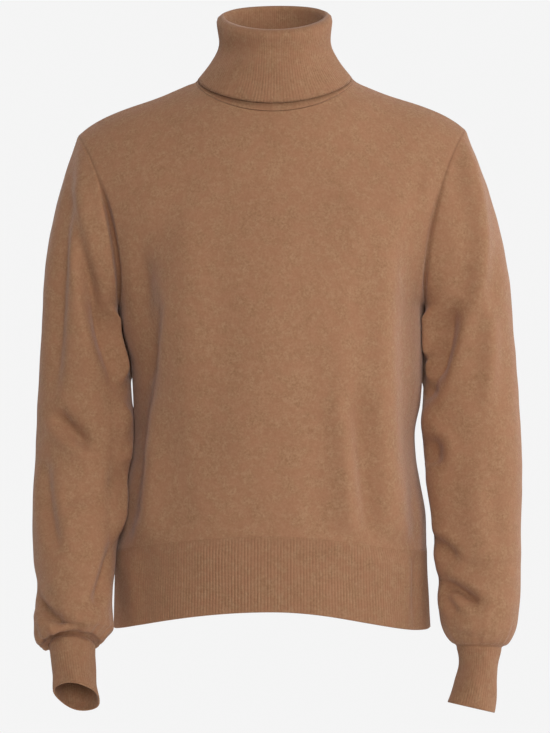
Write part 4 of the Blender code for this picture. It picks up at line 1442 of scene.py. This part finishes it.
# Each piece laid flat, in metres and square metres.
SHEETS = {
    "front": dict(flat=(0.481, 0.546), area=0.2192),
    "back": dict(flat=(0.448, 0.566), area=0.228),
    "hem_rib_front": dict(flat=(0.474, 0.088), area=0.0396),
    "hem_rib_back": dict(flat=(0.459, 0.088), area=0.0399),
    "sleeve_right": dict(flat=(0.339, 0.592), area=0.1559),
    "sleeve_left": dict(flat=(0.351, 0.581), area=0.1548),
    "cuff_right": dict(flat=(0.162, 0.071), area=0.0098),
    "cuff_left": dict(flat=(0.168, 0.072), area=0.0104),
    "collar": dict(flat=(0.416, 0.162), area=0.0673),
}


def knit_pieces(context, make, ribbed, pieces):
    """Makes a shell for each node, gives it its knit, and lets it stand for its solid."""
    jersey, rib = yarn_materials(context)
    for node, *where in pieces:
        piece = make("knit_" + node, *where, context.scene.sweater_sizes)
        piece.data.materials.append(rib if ribbed else jersey)
        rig.replaces(piece, node)
        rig.sheet(piece, held="stretched" if ribbed else "hung", **SHEETS[node])
    return {"FINISHED"}


class SWEATER_OT_body(bpy.types.Operator):
    """Knit the front and back panels"""

    bl_idname = "sweater.body"
    bl_label = "Front and back"

    def execute(self, context):
        return knit_pieces(context, body_panel, False, (("front", -1), ("back", 1)))


class SWEATER_OT_hem(bpy.types.Operator):
    """Knit the ribbed hem"""

    bl_idname = "sweater.hem"
    bl_label = "Ribbed hem"

    def execute(self, context):
        return knit_pieces(context, hem_band, True, (("hem_rib_front", -1), ("hem_rib_back", 1)))


class SWEATER_OT_sleeves(bpy.types.Operator):
    """Knit both sleeves"""

    bl_idname = "sweater.sleeves"
    bl_label = "Sleeves"

    def execute(self, context):
        sleeves = (("sleeve_right", -1, ARM_RIGHT), ("sleeve_left", 1, ARM_LEFT))
        return knit_pieces(context, sleeve, False, sleeves)


class SWEATER_OT_cuffs(bpy.types.Operator):
    """Knit both ribbed cuffs"""

    bl_idname = "sweater.cuffs"
    bl_label = "Ribbed cuffs"

    def execute(self, context):
        cuffs = (("cuff_right", -1, ARM_RIGHT), ("cuff_left", 1, ARM_LEFT))
        return knit_pieces(context, cuff, True, cuffs)


class SWEATER_OT_collar(bpy.types.Operator):
    """Knit the rolled collar"""

    bl_idname = "sweater.collar"
    bl_label = "Rolled collar"

    def execute(self, context):
        return knit_pieces(context, collar, True, (("collar",),))


FLOOR_HEIGHT, FLOOR_RADIUS, FLOOR_POINTS = -1.3, 2.4, 96
CAMERA_PLACE = (0.0033, -3.2, -0.3119)
CAMERA_LENS, SENSOR_HEIGHT = 142.9, 36.0
LAMPS = (
    ("side_lamp", "side", (2.7, -1.6, 0.4), 1.5),
    ("rim_lamp", "rim", (3.0, 0.5, 0.4), 1.5),
    ("fill_lamp", "fill", (-3.0, 0.5, 0.2), 1.5),
    ("front_lamp", "front", (0.2, -3.8, 0.4), 1.6),
    ("top_lamp", "top", (0.4, -2.0, 2.4), 1.8),
)
LAMP_TARGET = Vector((0, 0, -0.3))


class SWEATER_OT_stage(bpy.types.Operator):
    """Set up the floor, backdrop, lamps and camera"""

    bl_idname = "sweater.stage"
    bl_label = "Studio"

    def execute(self, context):
        scene, studio = context.scene, context.scene.sweater_studio

        def put(name, data, place, turn):
            thing = bpy.data.objects.new(name, data)
            thing.location, thing.rotation_euler = place, turn
            scene.collection.objects.link(thing)
            return thing

        angle = np.linspace(0, math.tau, FLOOR_POINTS, endpoint=False)
        rim = stack(FLOOR_RADIUS * np.cos(angle), FLOOR_RADIUS * np.sin(angle), FLOOR_HEIGHT)
        mesh = bpy.data.meshes.new("floor")
        mesh.from_pydata(rim.tolist(), [], [list(range(FLOOR_POINTS))])
        mesh.materials.append(plain_material("pale_floor", (0.86, 0.86, 0.86)))
        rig.stage(put("floor", mesh, (0, 0, 0), (0, 0, 0)))
        for name, power, place, size in LAMPS:
            light = bpy.data.lights.new(name, "AREA")
            light.shape, light.size, light.energy = "DISK", size, getattr(studio, power)
            turn = (LAMP_TARGET - Vector(place)).to_track_quat("-Z", "Y").to_euler()
            put(name, light, place, turn)
        scene.world = plain_world(studio)
        scene.view_settings.view_transform = "Standard"
        data = bpy.data.cameras.new("camera")
        data.sensor_fit, data.sensor_height, data.lens = "VERTICAL", SENSOR_HEIGHT, CAMERA_LENS
        scene.camera = put("camera", data, CAMERA_PLACE, (math.pi / 2, 0, 0))
        return {"FINISHED"}


def plain_material(name, colour):
    """One matt colour all over."""
    material = bpy.data.materials.new(name)
    material.use_nodes = True
    shader = material.node_tree.nodes["Principled BSDF"]
    shader.inputs["Base Color"].default_value = (*colour, 1)
    shader.inputs["Roughness"].default_value = 0.9
    shader.inputs["Specular IOR Level"].default_value = 0.1
    return material


def plain_world(studio):
    """Soft light from behind, with a plain backdrop where it is seen.

    The light falls off as the cosine of the angle between a ray and straight back.
    """
    world = bpy.data.worlds.new("studio")
    world.use_nodes = True
    world.node_tree.nodes.clear()
    nodes = Nodes(world.node_tree)
    here = nodes.add("ShaderNodeTexCoord").outputs["Generated"]
    way = nodes.add("ShaderNodeSeparateXYZ", {0: here}).outputs
    strength = nodes.math("MULTIPLY", nodes.math("MAXIMUM", way[1], 0.0), studio.back_wall)
    wall, seen = (
        nodes.add("ShaderNodeBackground", {"Color": (1, 1, 1, 1), "Strength": value}).outputs[0]
        for value in (strength, studio.backdrop)
    )
    ray = nodes.add("ShaderNodeLightPath").outputs["Is Camera Ray"]
    mix = nodes.add("ShaderNodeMixShader", {0: ray, 1: wall, 2: seen})
    nodes.add("ShaderNodeOutputWorld", {"Surface": mix.outputs[0]})
    return world


class SWEATER_PT_panel(bpy.types.Panel):
    """Lists the sweater's sizes, colours and steps"""

    bl_idname = "SWEATER_PT_panel"
    bl_label = "Turtleneck sweater"
    bl_space_type = "VIEW_3D"
    bl_region_type = "UI"
    bl_category = "Sweater"

    def draw(self, context):
        scene = context.scene
        for group in (scene.sweater_sizes, scene.sweater_yarn, scene.sweater_studio):
            column = self.layout.column(align=True)
            for name in group.__annotations__:
                column.prop(group, name)
        for step in STEPS:
            self.layout.operator(step.bl_idname)


STEPS = (
    SWEATER_OT_body,
    SWEATER_OT_hem,
    SWEATER_OT_sleeves,
    SWEATER_OT_cuffs,
    SWEATER_OT_collar,
    SWEATER_OT_stage,
)
CLASSES = (SweaterSizes, SweaterYarn, SweaterStudio, *STEPS, SWEATER_PT_panel)


def register():
    """Makes the classes known, and hangs the three groups of properties on the scene."""
    for each in CLASSES:
        bpy.utils.register_class(each)
    bpy.types.Scene.sweater_sizes = PointerProperty(type=SweaterSizes)
    bpy.types.Scene.sweater_yarn = PointerProperty(type=SweaterYarn)
    bpy.types.Scene.sweater_studio = PointerProperty(type=SweaterStudio)


def unregister():
    """Takes back what register did."""
    del bpy.types.Scene.sweater_studio, bpy.types.Scene.sweater_yarn, bpy.types.Scene.sweater_sizes
    for each in reversed(CLASSES):
        bpy.utils.unregister_class(each)


def main():
    """Makes the pieces and the stage in order, and writes the solids' box and the shells' box."""
    register()
    bpy.ops.sweater.body()
    bpy.ops.sweater.hem()
    bpy.ops.sweater.sleeves()
    bpy.ops.sweater.cuffs()
    bpy.ops.sweater.collar()
    bpy.ops.sweater.stage()
    boxes = {"cad": CAD_BOX, "visual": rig.bounds()}
    sizes = {name: [list(corner) for corner in box] for name, box in boxes.items()}
    with open("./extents.json", "w") as file:
        json.dump(sizes, file)


if __name__ == "__main__":
    main()
